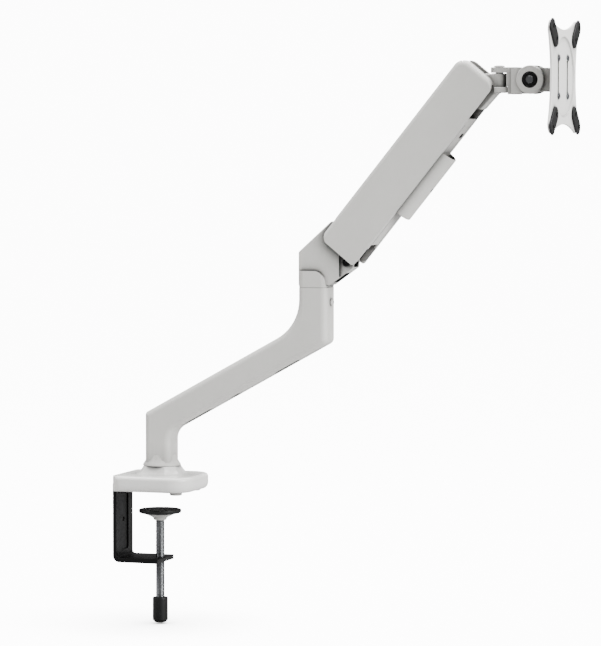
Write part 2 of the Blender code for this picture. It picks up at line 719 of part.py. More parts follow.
def make_upper_arm():
    """Cover and frame, bottom cover with the clip, and the gas spring's cylinder."""
    level = SPRING_LEVEL
    start, end, wide = CYLINDER_START, CYLINDER_END, CYLINDER_RADIUS
    tube = [(wide - 1.3, start), (wide, start + 1.2), (wide, end - 3), (wide - 2.3, end)]
    cylinder = place(turned("gas_spring_cylinder", tube, "black_steel", 28), (0, 0, level), (1, 0, 0))
    drill(cylinder, (start - 5, 0, level), (start + 45, 0, level), ROD_RADIUS + GAP)
    first, last, half = CARRIAGE_START, CARRIAGE_END, FRAME_INNER - GAP
    carriage = block("spring_carriage", (first, -10.6, level - 8.5), (last, 10.6, level + 8))
    join(carriage, block("shoulder", (first + 1, -half, -5), (last - 1, half, 8)))
    drill(carriage, (first - 5, 0, level), (last + 5, 0, level), 3.3)
    seat = (last + GAP, 0, level)
    bolt = headed("spring_adjuster_bolt", seat, (1, 0, 0), (5, 5), (3, 22), "steel")

    inner = COVER_HALF_WIDTH - COVER_WALL - GAP
    ends = ((BOTTOM_START, -inner, COVER_LOW), (BOTTOM_END, inner, COVER_LOW + BOTTOM_THICKNESS))
    bottom = block("bottom_cover", *ends, "grey_plastic")
    cut(bottom, block("notch", (10, -NOTCH_HALF, -30), (20, NOTCH_HALF, -20)))
    middle = (CLIP_START + CLIP_END) / 2
    screw_x, screw_y = UNDERSIDE_SCREW
    drill(bottom, (middle, 0, -40), (middle, 0, 0), SMALL_SCREW_HOLE)
    drill(bottom, (screw_x, screw_y, -40), (screw_x, screw_y, 0), SMALL_SCREW_HOLE)
    clip = make_clip()
    clip_seat = (middle, 0, COVER_LOW - GAP - CLIP_WALL - GAP)
    plain_seat = (screw_x, screw_y, COVER_LOW - GAP)
    down = (0, 0, -1)
    screws = [
        headed("clip_screw", clip_seat, down, (2.6, 1.6), (1.4, 3.6), "steel"),
        headed("underside_screw", plain_seat, down, (2.8, 1.0), (1.4, 2.6), "steel"),
    ]
    pieces = [make_cover(), make_frame(), bottom, clip, cylinder, carriage, bolt, *screws]
    for piece in pieces:
        on_arm(piece)
    return group("upper_arm", (ELBOW_PIVOT[0], 0, ELBOW_PIVOT[1]), pieces)


def make_spring_rod():
    """Gas spring rod, whose slotted eye reaches round the spring pin in the bracket."""
    level = SPRING_LEVEL
    eye_along = SPRING_PIN[0]
    rod = turned("gas_spring_rod", [(EYE_RADIUS, -6), (EYE_RADIUS, 6)], "steel", 28)
    place(rod, (eye_along, 0, level), (0, 1, 0))
    stem = turned("stem", [(ROD_RADIUS, eye_along + 6), (ROD_RADIUS, ROD_END)], "steel", 20)
    join(rod, place(stem, (0, 0, level), (1, 0, 0)))
    drill(rod, (eye_along, -10, level), (eye_along, 10, level), 5.3, 28)
    return group("gas_spring", arm_to_world(0, level), [on_arm(rod)])


def make_lower_links():
    """Two flat link bars beside the spring, which keep the head level."""
    pivot = Vector(ELBOW_PIVOT) + Vector(LINK_OFFSET)
    bars = []
    half_depth = 4.0
    for side, sign in (("near", -1), ("far", 1)):
        low, high = sorted((sign * LINK_INNER, sign * LINK_OUTER))
        outline = arc_points((ARM_LENGTH, 0), half_depth, -90, 90, 6)
        outline += arc_points((0, 0), half_depth, 90, 270, 6)
        sections = [[(u, y, v) for u, v in outline] for y in (low, high)]
        bar = loft(f"lower_link_{side}", sections, "black_steel")
        for along in (0, ARM_LENGTH):
            drill_across(bar, along, 0, LINK_PIN_RADIUS + GAP)
        bars.append(lay_along(bar, (pivot.x, 0, pivot.y), ARM_ANGLE))
    return group("link", (pivot.x, 0, pivot.y), bars)


# ---------------------------------------------------------------- head

def make_head():
    """Head bracket: held level by the two links, with the swivel boss at its end."""
    pivot = Vector(arm_to_world(ARM_LENGTH, 0)).xz
    link = pivot + Vector(LINK_OFFSET)
    corners = [
        (pivot.x - 3, HEAD_BOSS_TOP, 6),
        (link.x - 8, link.y + 2, 4),
        (link.x + 9.6, link.y - 8.0, 4),
        (366.0, HEAD_BOTTOM, 6),
        (SWIVEL_X + 2, HEAD_BOTTOM, 0),
        (SWIVEL_X + 2, HEAD_BOSS_TOP, 0),
    ]
    neck = NECK_HALF_WIDTH
    bracket = side_plate("head_bracket", corners, -neck, neck, "head_cast", edge=1.5, kept=(3, 4))
    hub = turned("hub", [(12, -TONGUE_HALF_WIDTH), (12, TONGUE_HALF_WIDTH)], "head_cast", 28)
    join(bracket, place(hub, (pivot.x, 0, pivot.y), (0, 1, 0)))
    boss = [
        (HEAD_BOSS_RADIUS, HEAD_BOTTOM - 0.4),
        (HEAD_BOSS_RADIUS, HEAD_BOSS_TOP - 0.1),
        (HEAD_BOSS_RADIUS - 0.4, HEAD_BOSS_TOP + 0.3),
    ]
    cut(bracket, block("front_trim", (SWIVEL_X, -20, 400), (390, 20, 450)))
    join(bracket, place(turned("boss", boss, "head_cast", 32), (SWIVEL_X, 0, 0)))
    ledge_profile = [
        (HEAD_LEDGE_RADIUS - 1, HEAD_BOTTOM),
        (HEAD_LEDGE_RADIUS, HEAD_BOTTOM + 1),
        (HEAD_LEDGE_RADIUS, HEAD_LEDGE_TOP),
    ]
    ledge = place(turned("ledge", ledge_profile, "head_cast"), (SWIVEL_X, 0, 0))
    cut(ledge, block("trim", (SWIVEL_X - 30, -30, 400), (SWIVEL_X - 1.6, 30, 440)))
    join(bracket, ledge)
    drill_across(bracket, *pivot, MAIN_PIN_RADIUS + GAP)
    drill_across(bracket, *link, LINK_PIN_RADIUS + GAP)
    drill(bracket, (SWIVEL_X, 0, HEAD_BOTTOM + 2), (SWIVEL_X, 0, 460), HEAD_BOLT_RADIUS + GAP)
    pieces = [bracket]
    reach = FRAME_OUTER
    ends = ((pivot.x, -reach, pivot.y), (pivot.x, reach, pivot.y))
    pieces.append(pin("head_main_pin", *ends, MAIN_PIN_RADIUS, "steel"))
    ends = ((link.x, -LINK_OUTER, link.y), (link.x, LINK_OUTER, link.y))
    pieces.append(pin("head_link_pin", *ends, LINK_PIN_RADIUS, "steel"))
    return group("head", (pivot.x, 0, pivot.y), pieces)


def make_yoke():
    """Swivel yoke: a lug over the boss and two ears round the tilt knuckle."""
    lug_bottom = HEAD_BOSS_TOP + 0.9
    web_end = 387.5
    width = 8.6
    tilt_x, tilt_z = TILT_AXIS
    outline = arc_points((SWIVEL_X, 0), width, 90, 270, 12) + [(web_end, -width), (web_end, width)]
    yoke = flat_plate("swivel_yoke", outline, lug_bottom, YOKE_TOP, "head_cast")
    ends = ((YOKE_BODY_START, -width + 0.1, YOKE_BOTTOM), (web_end, width - 0.1, YOKE_TOP - 0.4))
    join(yoke, block("web", *ends))
    seat = HEAD_LEDGE_RADIUS + 0.7
    step = turned("step", [(seat, 400), (seat, HEAD_LEDGE_TOP + 0.7)], "steel", 48)
    cut(yoke, place(step, (SWIVEL_X, 0, 0)))
    ear_inner = KNUCKLE_HALF_WIDTH + GAP
    room = turned("room", [(13.5, -ear_inner), (13.5, ear_inner)], "steel", 40)
    for sign in (-1, 1):
        low, high = sorted((sign * ear_inner, sign * EAR_OUTER))
        rim = 1.0
        ear = [
            (EAR_RADIUS - (rim if sign < 0 else 0), low),
            (EAR_RADIUS, low + rim),
            (EAR_RADIUS, high - rim),
            (EAR_RADIUS - (rim if sign > 0 else 0), high),
        ]
        disc = place(turned("ear", ear, "head_cast", 40), (tilt_x, 0, tilt_z), (0, 1, 0))
        join(yoke, disc)
        low, high = sorted((sign * (width - 3), sign * (EAR_OUTER - 2.5)))
        ends = ((web_end - 6, low, YOKE_BOTTOM + 0.6), (tilt_x - 9, high, YOKE_TOP - 1))
        join(yoke, block("cheek", *ends))
    cut(yoke, place(room, (tilt_x, 0, tilt_z), (0, 1, 0)))
    drill_across(yoke, tilt_x, tilt_z, HEAD_BOLT_RADIUS + GAP)
    for low, high in ((-20, -10.8), (10.8, 20)):
        pocket = turned("pocket", [(8.4, low), (8.4, high)], "steel", 32)
        cut(yoke, place(pocket, (tilt_x, 0, tilt_z), (0, 1, 0)))
    drill(yoke, (SWIVEL_X, 0, 430), (SWIVEL_X, 0, 460), HEAD_BOLT_RADIUS + GAP)
    return yoke


def make_swivel():
    """The yoke with its bolt and washer."""
    seat = (SWIVEL_X, 0, YOKE_TOP + GAP)
    shank = YOKE_TOP - HEAD_BOTTOM - 4
    body = (HEAD_BOLT_RADIUS, shank)
    bolt = headed("swivel_bolt", seat, (0, 0, 1), (5.6, 1.8), body, "head_cast", 28)
    low = HEAD_BOSS_TOP + 0.4
    return group("swivel", (SWIVEL_X, 0, low), [make_yoke(), bolt])


def make_tilt():
    """Knuckle between the ears, carrying the plate's own shaft, with bolt and nuts."""
    x, z = TILT_AXIS
    low, high = 418.5, 442.8
    face = 421.0
    outline = arc_points((x, z), 12.2, 80, 280, 14)
    outline += [(face - 2, low), (face, low + 2), (face, high - 2), (face - 2, high)]
    half = KNUCKLE_HALF_WIDTH
    knuckle = loft("tilt_knuckle", [[(u, y, v) for u, v in outline] for y in (-half, half)], "head_cast")
    drill_across(knuckle, x, z, HEAD_BOLT_RADIUS + GAP)
    ends = ((face - 10, 0, PLATE_CENTRE), (face + 5, 0, PLATE_CENTRE))
    drill(knuckle, *ends, SHAFT_RADIUS + GAP)
    bolt = pin("tilt_bolt", (x, -14.8, z), (x, 14.2, z), HEAD_BOLT_RADIUS, "steel")
    pieces = [knuckle, bolt]
    for name, start in (("tilt_nut_near", -14.2), ("tilt_nut_far", 11.1)):
        nut = turned(name, [(7.0, 0), (7.5, 0.4), (7.5, 2.7), (7.0, 3.1)], "black_steel", 6)
        place(nut, (x, start, z), (0, 1, 0))
        drill(nut, (x, start - 2, z), (x, start + 6, z), HEAD_BOLT_RADIUS + GAP)
        pieces.append(nut)
    return group("tilt", (x, 0, z), pieces)


# ---------------------------------------------------------------- monitor plate

def plate_outline():
    """Four rounded lobes on the diagonals, with hollow sides between them."""
    edge = PLATE_HALF
    tip = LOBE_RADIUS
    outline = []
    for quarter in range(4):
        turn = Matrix.Rotation(math.radians(90 * quarter), 2)
        sag = END_HOLLOW if quarter % 2 else SIDE_HOLLOW
        chord = edge - tip
        radius = (chord * chord + sag * sag) / (2 * sag)
        middle = (edge - sag + radius, 0)
        spread = math.degrees(math.asin(chord / radius))
        side = arc_points(middle, radius, 180 + spread, 180 - spread, 8)
        lobe = arc_points((edge - tip, edge - tip), tip, 0, 90, 5)
        for point in side[:-1] + lobe[:-1]:
            rotated = turn @ Vector(point)
            outline.append((rotated.x, PLATE_CENTRE + rotated.y))
    return outline


def make_plate():
    """Turning plate with its hub, screws and the four rubber pads."""
    plate = front_plate("vesa_plate", plate_outline(), PLATE_BACK, PLATE_FRONT, "white_cast")
    recess = ((PLATE_RECESS_FACE, 0, PLATE_CENTRE), (450, 0, PLATE_CENTRE))
    drill(plate, *recess, RECESS_RADIUS, 48)
    rim = HUB_RADIUS
    hub_profile = [(12, HUB_BACK), (12, 425), (rim, 426.4), (rim, PLATE_BACK - GAP)]
    hub = place(turned("plate_hub", hub_profile, "head_cast"), (0, 0, PLATE_CENTRE), (1, 0, 0))
    drill(hub, (400, 0, PLATE_CENTRE), (450, 0, PLATE_CENTRE), SHAFT_RADIUS + GAP)
    ends = ((412, 0, PLATE_CENTRE), (PLATE_BACK - GAP, 0, PLATE_CENTRE))
    shaft = pin("plate_shaft", *ends, SHAFT_RADIUS, "steel")
    slot_y, slot_half, slot_width = SLOT_SPREAD, SLOT_HALF, SLOT_RADIUS
    pieces = [plate, hub, shaft]
    for side, y in (("near", -slot_y), ("far", slot_y)):
        slot = []
        slot += arc_points((y, PLATE_CENTRE + slot_half), slot_width, 0, 180, 6)
        slot += arc_points((y, PLATE_CENTRE - slot_half), slot_width, 180, 360, 6)
        cut(plate, front_plate("slot", slot, 400, 450, "steel"))
        for level, z in (("low", PLATE_CENTRE - slot_half), ("high", PLATE_CENTRE + slot_half)):
            drill(hub, (400, y, z), (450, y, z), 1.9)
            seat = (PLATE_RECESS_FACE + GAP, y, z)
            screw = headed(f"plate_screw_{side}_{level}", seat, (1, 0, 0), (3.3, 1.5), (1.6, 5), "steel")
            pieces.append(screw)
    names = ("far_high", "near_high", "near_low", "far_low")
    for k, name in enumerate(names):
        angle = 45 + 90 * k
        turn = Matrix.Rotation(math.radians(angle), 2)
        reach = PAD_CENTRE * math.sqrt(2)
        round_end = PAD_WIDTH / 2
        straight = PAD_LENGTH / 2 - round_end
        shape = arc_points((reach + straight, 0), round_end, -90, 90, 8)
        shape += arc_points((reach - straight, 0), round_end, 90, 270, 8)
        outline = []
        for point in shape:
            rotated = turn @ Vector(point)
            outline.append((rotated.x, PLATE_CENTRE + rotated.y))
        seat = PLATE_FRONT + GAP
        pad = front_plate(f"plate_pad_{name}", outline, seat, seat + PAD_THICKNESS, "rubber")
        for square in MOUNT_SQUARES:
            hole = turn @ Vector((square / math.sqrt(2), 0))
            ends = ((400, hole.x, PLATE_CENTRE + hole.y), (450, hole.x, PLATE_CENTRE + hole.y))
            drill(pad, *ends, MOUNT_HOLE_RADIUS, 12)
            drill(plate, *ends, MOUNT_HOLE_RADIUS, 12)
        pieces.append(pad)
    return group("plate", (PLATE_BACK, 0, PLATE_CENTRE), pieces)


def main():
    """Build every sub-assembly in an empty scene."""
    for old in list(bpy.data.objects):
        bpy.data.objects.remove(old)
    for name, (colour, roughness, metallic) in MATERIALS.items():
        material = bpy.data.materials.new(name)
        material.use_nodes = True
        shader = material.node_tree.nodes["Principled BSDF"]
        shader.inputs["Base Color"].default_value = (*colour, 1)
        shader.inputs["Roughness"].default_value = roughness
        shader.inputs["Metallic"].default_value = metallic
    make_base()
    make_clamp()
    make_lower_arm()
    make_elbow()
    make_upper_arm()
    make_spring_rod()
    make_lower_links()
    make_head()
    make_swivel()
    make_tilt()
    make_plate()


main()
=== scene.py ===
"""Desk-clamp monitor arm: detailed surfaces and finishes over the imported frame.

Lengths are in millimetres and angles in degrees until a mesh is made, in metres.
+X runs from the clamp towards the monitor and +Z is up.
"""

import logging
import math
from dataclasses import dataclass, replace
from enum import Enum
from typing import Callable, Iterable, Sequence

import bmesh
import bpy
from mathutils import Matrix, Vector


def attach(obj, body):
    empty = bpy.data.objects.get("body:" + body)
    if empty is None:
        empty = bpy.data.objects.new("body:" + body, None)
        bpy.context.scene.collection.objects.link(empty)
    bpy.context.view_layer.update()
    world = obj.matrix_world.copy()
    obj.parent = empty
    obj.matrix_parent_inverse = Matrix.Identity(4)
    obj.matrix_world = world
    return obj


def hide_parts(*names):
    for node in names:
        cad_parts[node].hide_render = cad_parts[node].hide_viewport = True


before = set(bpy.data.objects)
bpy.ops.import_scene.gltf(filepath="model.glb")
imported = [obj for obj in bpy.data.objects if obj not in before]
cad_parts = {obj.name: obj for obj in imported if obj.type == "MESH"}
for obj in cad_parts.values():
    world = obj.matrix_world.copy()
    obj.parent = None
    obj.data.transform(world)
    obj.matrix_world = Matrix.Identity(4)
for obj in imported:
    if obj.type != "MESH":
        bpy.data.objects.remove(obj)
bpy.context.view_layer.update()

LOG = logging.getLogger("monitor_arm")
MM = 0.001
# Clearance between pieces that meet, and under the heads of screws.
GAP = 0.3

Point2 = tuple[float, float]
Point3 = tuple[float, float, float]
# Two coordinates and the rounding radius of a profile's corner.
Corner = tuple[float, float, float]
Piece = bpy.types.Object
Socket = bpy.types.NodeSocket


# --- finishes

class Texture(Enum):
    """How a surface was made, which sets the pattern of its fine relief."""

    ORANGE_PEEL = "sprayed or baked coating"
    SPARK_ERODED = "moulded in a textured tool"
    DRAWN = "drawn, turned or rolled metal"
    SATIN_RUBBER = "pressed rubber"


def linear_colour(code: str) -> tuple[float, float, float, float]:
    """Turn an sRGB hex code into linear colour.

    Args:
        code: Six hex digits, red first.

    Returns:
        Linear red, green and blue, and an alpha of one.
    """
    values = [int(code[i : i + 2], 16) / 255 for i in (0, 2, 4)]
    straight = [v / 12.92 if v <= 0.04045 else ((v + 0.055) / 1.055) ** 2.4 for v in values]
    return (straight[0], straight[1], straight[2], 1.0)


def add_node(
    tree: bpy.types.NodeTree,
    kind: str,
    settings: dict[str | int, object] | None = None,
    links: dict[str | int, Socket] | None = None,
) -> bpy.types.Node:
    """Add one shader node.

    Args:
        tree: The material's node tree.
        kind: The node's type name.
        settings: Values for its sockets, or for its own properties.
        links: Sockets that feed its inputs.

    Returns:
        The new node.
    """
    node = tree.nodes.new(kind)
    for key, value in (settings or {}).items():
        if isinstance(key, int) or key in node.inputs:
            node.inputs[key].default_value = value
        else:
            setattr(node, key, value)
    for key, source in (links or {}).items():
        tree.links.new(source, node.inputs[key])
    return node


def maths(tree: bpy.types.NodeTree, operation: str, first: Socket, second: Socket | float) -> Socket:
    """Combine two shader values, of which the second may be a plain number."""
    fixed = {1: second} if isinstance(second, float) else {}
    linked = {} if fixed else {1: second}
    settings = {"operation": operation, **fixed}
    return add_node(tree, "ShaderNodeMath", settings, {0: first, **linked}).outputs[0]


def blank_material(name: str, values: dict[str, object]) -> tuple[bpy.types.Material, bpy.types.Node]:
    """Start a material whose main shader has the given input values."""
    material = bpy.data.materials.new(name)
    material.use_nodes = True
    shader = material.node_tree.nodes["Principled BSDF"]
    for key, value in values.items():
        shader.inputs[key].default_value = value
    return material, shader


@dataclass(frozen=True)
class Finish:
    """One finish: a base material, how it was made and how it takes the light."""

    name: str
    colour: str
    shade: str
    texture: Texture
    grain_mm: float
    relief_mm: float
    roughness: tuple[float, float]
    metallic: float = 0.0
    ior: float = 1.5
    coat: float = 0.0
    specular: float = 0.5
    mottle_mm: float = 28.0
    mottle: float = 0.5
    # Strength and reach of the painted shade, which ambient occlusion darkens into the colour in hollows and
    # under overhangs.
    recess: float = 1.6
    painted_shade_reach_mm: float = 34.0

    def stretch(self) -> Vector:
        """Scale of the grain pattern: drawn metal is long along Z and fine across it."""
        scale = 1 / (self.grain_mm * MM)
        if self.texture is Texture.DRAWN:
            return Vector((scale, scale, scale / 14))
        return Vector((scale, scale, scale))

    def make(self) -> bpy.types.Material:
        """Build the material, with painted shade darkening its colour in hollows.

        Returns:
            The finished Blender material.
        """
        values = {
            "Metallic": self.metallic,
            "Specular IOR Level": self.specular,
            "Coat Weight": self.coat,
            "Coat Roughness": 0.12,
        }
        if self.metallic < 0.5:
            values["IOR"] = self.ior
        material, shader = blank_material(self.name, values)
        tree = material.node_tree

        place = add_node(tree, "ShaderNodeTexCoord").outputs["Object"]
        fine = add_node(tree, "ShaderNodeMapping", {"Scale": self.stretch()}, {"Vector": place})
        vector = {"Vector": fine.outputs["Vector"]}
        noise = {"Scale": 1.0, "Detail": 4.0, "Roughness": 0.55}
        grain = add_node(tree, "ShaderNodeTexNoise", noise, vector).outputs["Fac"]
        if self.texture is Texture.SPARK_ERODED:
            pits = add_node(tree, "ShaderNodeTexVoronoi", {"Scale": 1.4}, vector)
            grain = maths(tree, "MULTIPLY", grain, pits.outputs["Distance"])

        slow = {"Scale": 1 / (self.mottle_mm * MM), "Detail": 3.0, "Roughness": 0.6}
        cloud = add_node(tree, "ShaderNodeTexNoise", slow, {"Vector": place}).outputs["Fac"]
        span = {"From Min": 0.3, "From Max": 0.7, "To Min": 0.0, "To Max": self.mottle}
        amount = add_node(tree, "ShaderNodeMapRange", span, {"Value": cloud}).outputs["Result"]
        colours = {"data_type": "RGBA", 6: linear_colour(self.colour), 7: linear_colour(self.shade)}
        mixed = add_node(tree, "ShaderNodeMix", colours, {0: amount}).outputs[2]
        # Painted shade: the colour is darkened by ambient occlusion, so hollows and the undersides of
        # overhangs look shaded.
        around = {"Distance": self.painted_shade_reach_mm * MM, "samples": 6}
        near = add_node(tree, "ShaderNodeAmbientOcclusion", around).outputs["AO"]
        painted_shade = {0: mixed, "Scale": maths(tree, "POWER", near, self.recess)}
        shade = add_node(tree, "ShaderNodeVectorMath", {"operation": "SCALE"}, painted_shade)
        tree.links.new(shade.outputs["Vector"], shader.inputs["Base Color"])

        both = maths(tree, "ADD", grain, cloud)
        low, high = self.roughness
        span = {"From Min": 0.6, "From Max": 1.4, "To Min": low, "To Max": high}
        dull = add_node(tree, "ShaderNodeMapRange", span, {"Value": both})
        tree.links.new(dull.outputs["Result"], shader.inputs["Roughness"])

        bump = {"Strength": 0.6, "Distance": self.relief_mm * MM}
        relief = add_node(tree, "ShaderNodeBump", bump, {"Height": grain})
        tree.links.new(relief.outputs["Normal"], shader.inputs["Normal"])
        return material


class Kit:
    """The finishes of this arm, each made once."""

    # Die-cast aluminium under a baked powder coat: an even grey with a faint orange peel.
    ARM = Finish(
        "powder_coated_diecast_aluminium", "D3D2CE", "CBCAC5", Texture.ORANGE_PEEL, 0.9, 0.020, (0.36, 0.50)
    )
    # The same coat on the castings inside the joints, with much stronger painted shade that darkens their
    # hollows.
    JOINT_IN_PAINTED_SHADE = replace(ARM, name="powder_coated_joint_casting", recess=5.5, painted_shade_reach_mm=75.0)
    # Powder coat on the small zinc castings of the head: finer, with a little more sheen.
    HEAD = Finish(
        "powder_coated_zinc_casting", "D2D1CD", "C8C7C3", Texture.ORANGE_PEEL, 0.7, 0.020, (0.34, 0.48)
    )
    # Gloss white enamel over cast aluminium: smooth, with soft highlights.
    WHITE = Finish(
        "white_enamelled_diecast_aluminium", "ECEBE8", "E4E3DF", Texture.ORANGE_PEEL, 1.4, 0.012,
        (0.22, 0.34), coat=0.35,
    )
    # White powder coat on pressed sheet: paler than the arm and flatter than the base, with stronger painted
    # shade in its hollows.
    PLATE = Finish(
        "white_powder_coated_steel_sheet", "F2F1EE", "ECEBE8", Texture.ORANGE_PEEL, 0.8, 0.016,
        (0.32, 0.44), recess=3.0,
    )
    # Spark-eroded ABS mouldings for the covers: matt, with a fine dull grain.
    ABS = Finish(
        "grey_moulded_abs", "C8C7C3", "BFBEBA", Texture.SPARK_ERODED, 0.8, 0.030, (0.48, 0.62), ior=1.53
    )
    # Black powder coat on bent steel plate: dark, with a slightly broken highlight.
    BLACK_STEEL = Finish(
        "black_powder_coated_steel", "0C0C0D", "070708", Texture.ORANGE_PEEL, 0.7, 0.030,
        (0.4, 0.55), specular=0.12,
    )
    # Glass-filled nylon: black and matt, a little grey where the grain catches the light.
    BLACK_NYLON = Finish(
        "black_glass_filled_nylon", "101011", "0A0A0B", Texture.SPARK_ERODED, 0.9, 0.040,
        (0.5, 0.64), specular=0.25,
    )
    # Nitrile rubber: soft black, no clear reflection.
    RUBBER = Finish(
        "black_nitrile_rubber", "121213", "191919", Texture.SATIN_RUBBER, 0.6, 0.020,
        (0.62, 0.78), ior=1.52, specular=0.3,
    )
    # Grey elastomer of the round feet: soft and matt.
    PALE_RUBBER = Finish(
        "grey_elastomer", "BDBCB8", "B2B1AD", Texture.SATIN_RUBBER, 0.7, 0.020, (0.55, 0.7), ior=1.5
    )
    # Zinc-plated steel: mid grey, with fine drawn lines.
    ZINC = Finish(
        "zinc_plated_steel", "808284", "6D6F72", Texture.DRAWN, 0.35, 0.010,
        (0.22, 0.38), metallic=1.0, mottle=0.8,
    )
    # Black-oxide steel of nuts and socket screws: near black with an oily sheen.
    BLACK_OXIDE = Finish(
        "black_oxide_steel", "1E1E20", "161617", Texture.DRAWN, 0.4, 0.010, (0.3, 0.45), metallic=0.8
    )
    # Plain oiled steel of the tilt bolt: duller than the plated parts.
    OILED = Finish(
        "oiled_plain_steel", "626365", "515254", Texture.DRAWN, 0.4, 0.012, (0.35, 0.5), metallic=1.0
    )
    # Natural nylon bushes and washers: cream and waxy.
    NYLON = Finish(
        "natural_nylon", "D8D4C6", "CDC9BA", Texture.SPARK_ERODED, 0.8, 0.015, (0.4, 0.52), ior=1.53
    )

    def __init__(self) -> None:
        """Start with no material made."""
        self.made: dict[str, bpy.types.Material] = {}

    def material(self, finish: Finish) -> bpy.types.Material:
        """Return the material of a finish, building it the first time."""
        if finish.name not in self.made:
            self.made[finish.name] = finish.make()
        return self.made[finish.name]


KIT = Kit()


# --- outlines

def arc(centre: Point2, radius: float, start: float, end: float, steps: int) -> list[Point2]:
    """Points along an arc.

    Args:
        centre: Centre of the arc.
        radius: Its radius.
        start: First angle in degrees.
        end: Last angle in degrees.
        steps: Number of equal steps.

    Returns:
        The points, both ends included.
    """
    angles = [math.radians(start + (end - start) * i / steps) for i in range(steps + 1)]
    return [(centre[0] + radius * math.cos(a), centre[1] + radius * math.sin(a)) for a in angles]


def rectangle(low: Point2, high: Point2, *radii: float) -> list[Corner]:
    """Corners of a rectangle, with one rounding radius or one for each corner."""
    places = (low, (high[0], low[1]), high, (low[0], high[1]))
    return [(*place, radius) for place, radius in zip(places, radii if len(radii) > 1 else radii * 4)]


def rounded(corners: Sequence[Corner], step: float = 6.0) -> list[Point2]:
    """Turn (u, v, radius) corners into a closed outline.

    Args:
        corners: The polygon's corners, each with its rounding radius.
        step: Angle covered by one segment of a rounded corner, in degrees.

    Returns:
        The outline's points in order.
    """
    outline: list[Point2] = []
    count = len(corners)
    for i, (u, v, radius) in enumerate(corners):
        here = Vector((u, v))
        if radius <= 0:
            outline.append((u, v))
            continue
        back = (Vector(corners[i - 1][:2]) - here).normalized()
        ahead = (Vector(corners[(i + 1) % count][:2]) - here).normalized()
        half = back.angle(ahead) / 2
        middle = here + (back + ahead).normalized() * (radius / math.sin(half))
        first = here + back * (radius / math.tan(half)) - middle
        last = here + ahead * (radius / math.tan(half)) - middle
        turn = first.angle_signed(last)
        steps = max(3, round(math.degrees(abs(turn)) / step))
        turns = [Matrix.Rotation(-turn * k / steps, 2) for k in range(steps + 1)]
        outline += [tuple(middle + turned @ first) for turned in turns]
    return outline


def inset(corners: Sequence[Corner], distance: float, kept: Iterable[int] = ()) -> list[Corner]:
    """Move the polygon's sides inwards.

    Args:
        corners: Corners with their radii.
        distance: How far each side moves.
        kept: Indexes of the sides that stay, counted from the corner they start at.

    Returns:
        The moved corners with their new radii.
    """
    count = len(corners)
    area = sum(corners[i - 1][0] * corners[i][1] - corners[i][0] * corners[i - 1][1] for i in range(count))
    side = 1 if area > 0 else -1
    lines = []
    for i in range(count):
        start = Vector(corners[i][:2])
        along = (Vector(corners[(i + 1) % count][:2]) - start).normalized()
        inward = Vector((-along.y, along.x)) * side
        lines.append((start + inward * (0 if i in kept else distance), along))
    moved: list[Corner] = []
    for i, (_, _, radius) in enumerate(corners):
        (p, d), (q, e) = lines[i - 1], lines[i]
        cross = d.x * e.y - d.y * e.x
        point = p + d * (((q - p).x * e.y - (q - p).y * e.x) / cross)
        if radius > 0:
            radius = max(0.3, radius - distance) if cross * side > 0 else radius + distance
        moved.append((point.x, point.y, radius))
    return moved


def shrink(outline: Sequence[Point2], distance: float) -> list[Point2]:
    """Move each point of a dense outline inwards along its own normal."""
    count = len(outline)
    area = sum(outline[i - 1][0] * outline[i][1] - outline[i][0] * outline[i - 1][1] for i in range(count))
    side = 1 if area > 0 else -1
    moved = []
    for i in range(count):
        tangent = (Vector(outline[(i + 1) % count]) - Vector(outline[i - 1])).normalized()
        inward = Vector((-tangent.y, tangent.x)) * side
        moved.append(tuple(Vector(outline[i]) + inward * distance))
    return moved


# --- solids

class Plane(Enum):
    """The plane an outline is drawn in; the solid grows square to it."""

    SIDE = "XZ"
    PLAN = "XY"
    FRONT = "YZ"

    def point(self, u: float, v: float, depth: float) -> Point3:
        """Place an outline point at a depth square to the plane."""
        if self is Plane.SIDE:
            return (u, depth, v)
        if self is Plane.PLAN:
            return (u, v, depth)
        return (depth, u, v)


def smooth_by_angle(mesh: bpy.types.Mesh, angle: float = 32.0) -> None:
    """Shade a mesh smooth, with creases sharper than the angle kept."""
    mesh.shade_smooth()
    mesh.set_sharp_from_angle(angle=math.radians(angle))


def new_object(name: str, data: bpy.types.ID) -> bpy.types.Object:
    """Put mesh, camera or light data into the scene as an object."""
    made = bpy.data.objects.new(name, data)
    bpy.context.scene.collection.objects.link(made)
    return made


def loft(name: str, loops: Sequence[Sequence[Point3]], ring: bool = False) -> Piece:
    """Join loops of equal length into one closed solid.

    Args:
        name: Name of the new piece.
        loops: Point loops in order, in millimetres.
        ring: Join the last loop to the first, in place of capping both.

    Returns:
        The new piece, with its mesh in metres.
    """
    builder = bmesh.new()
    rows = [[builder.verts.new(Vector(p) * MM) for p in loop] for loop in loops]
    pairs = list(zip(rows, rows[1:])) + ([(rows[-1], rows[0])] if ring else [])
    for low, high in pairs:
        for i in range(len(low)):
            builder.faces.new((low[i - 1], low[i], high[i], high[i - 1]))
    if not ring:
        builder.faces.new(rows[0])
        builder.faces.new(rows[-1])
    bmesh.ops.recalc_face_normals(builder, faces=builder.faces)
    mesh = bpy.data.meshes.new(name)
    builder.to_mesh(mesh)
    builder.free()
    smooth_by_angle(mesh)
    return new_object(name, mesh)


def edge_stations(low: float, high: float, edge: float, steps: int) -> list[Point2]:
    """Depths and insets that round both long edges of a solid."""
    near = []
    for k in range(steps if edge > 0 else 0):
        angle = math.pi / 2 * k / steps
        near.append((low + edge * (1 - math.cos(angle)), edge * (1 - math.sin(angle))))
    near.append((low + edge, 0.0))
    return near + [(low + high - depth, move) for depth, move in reversed(near)]


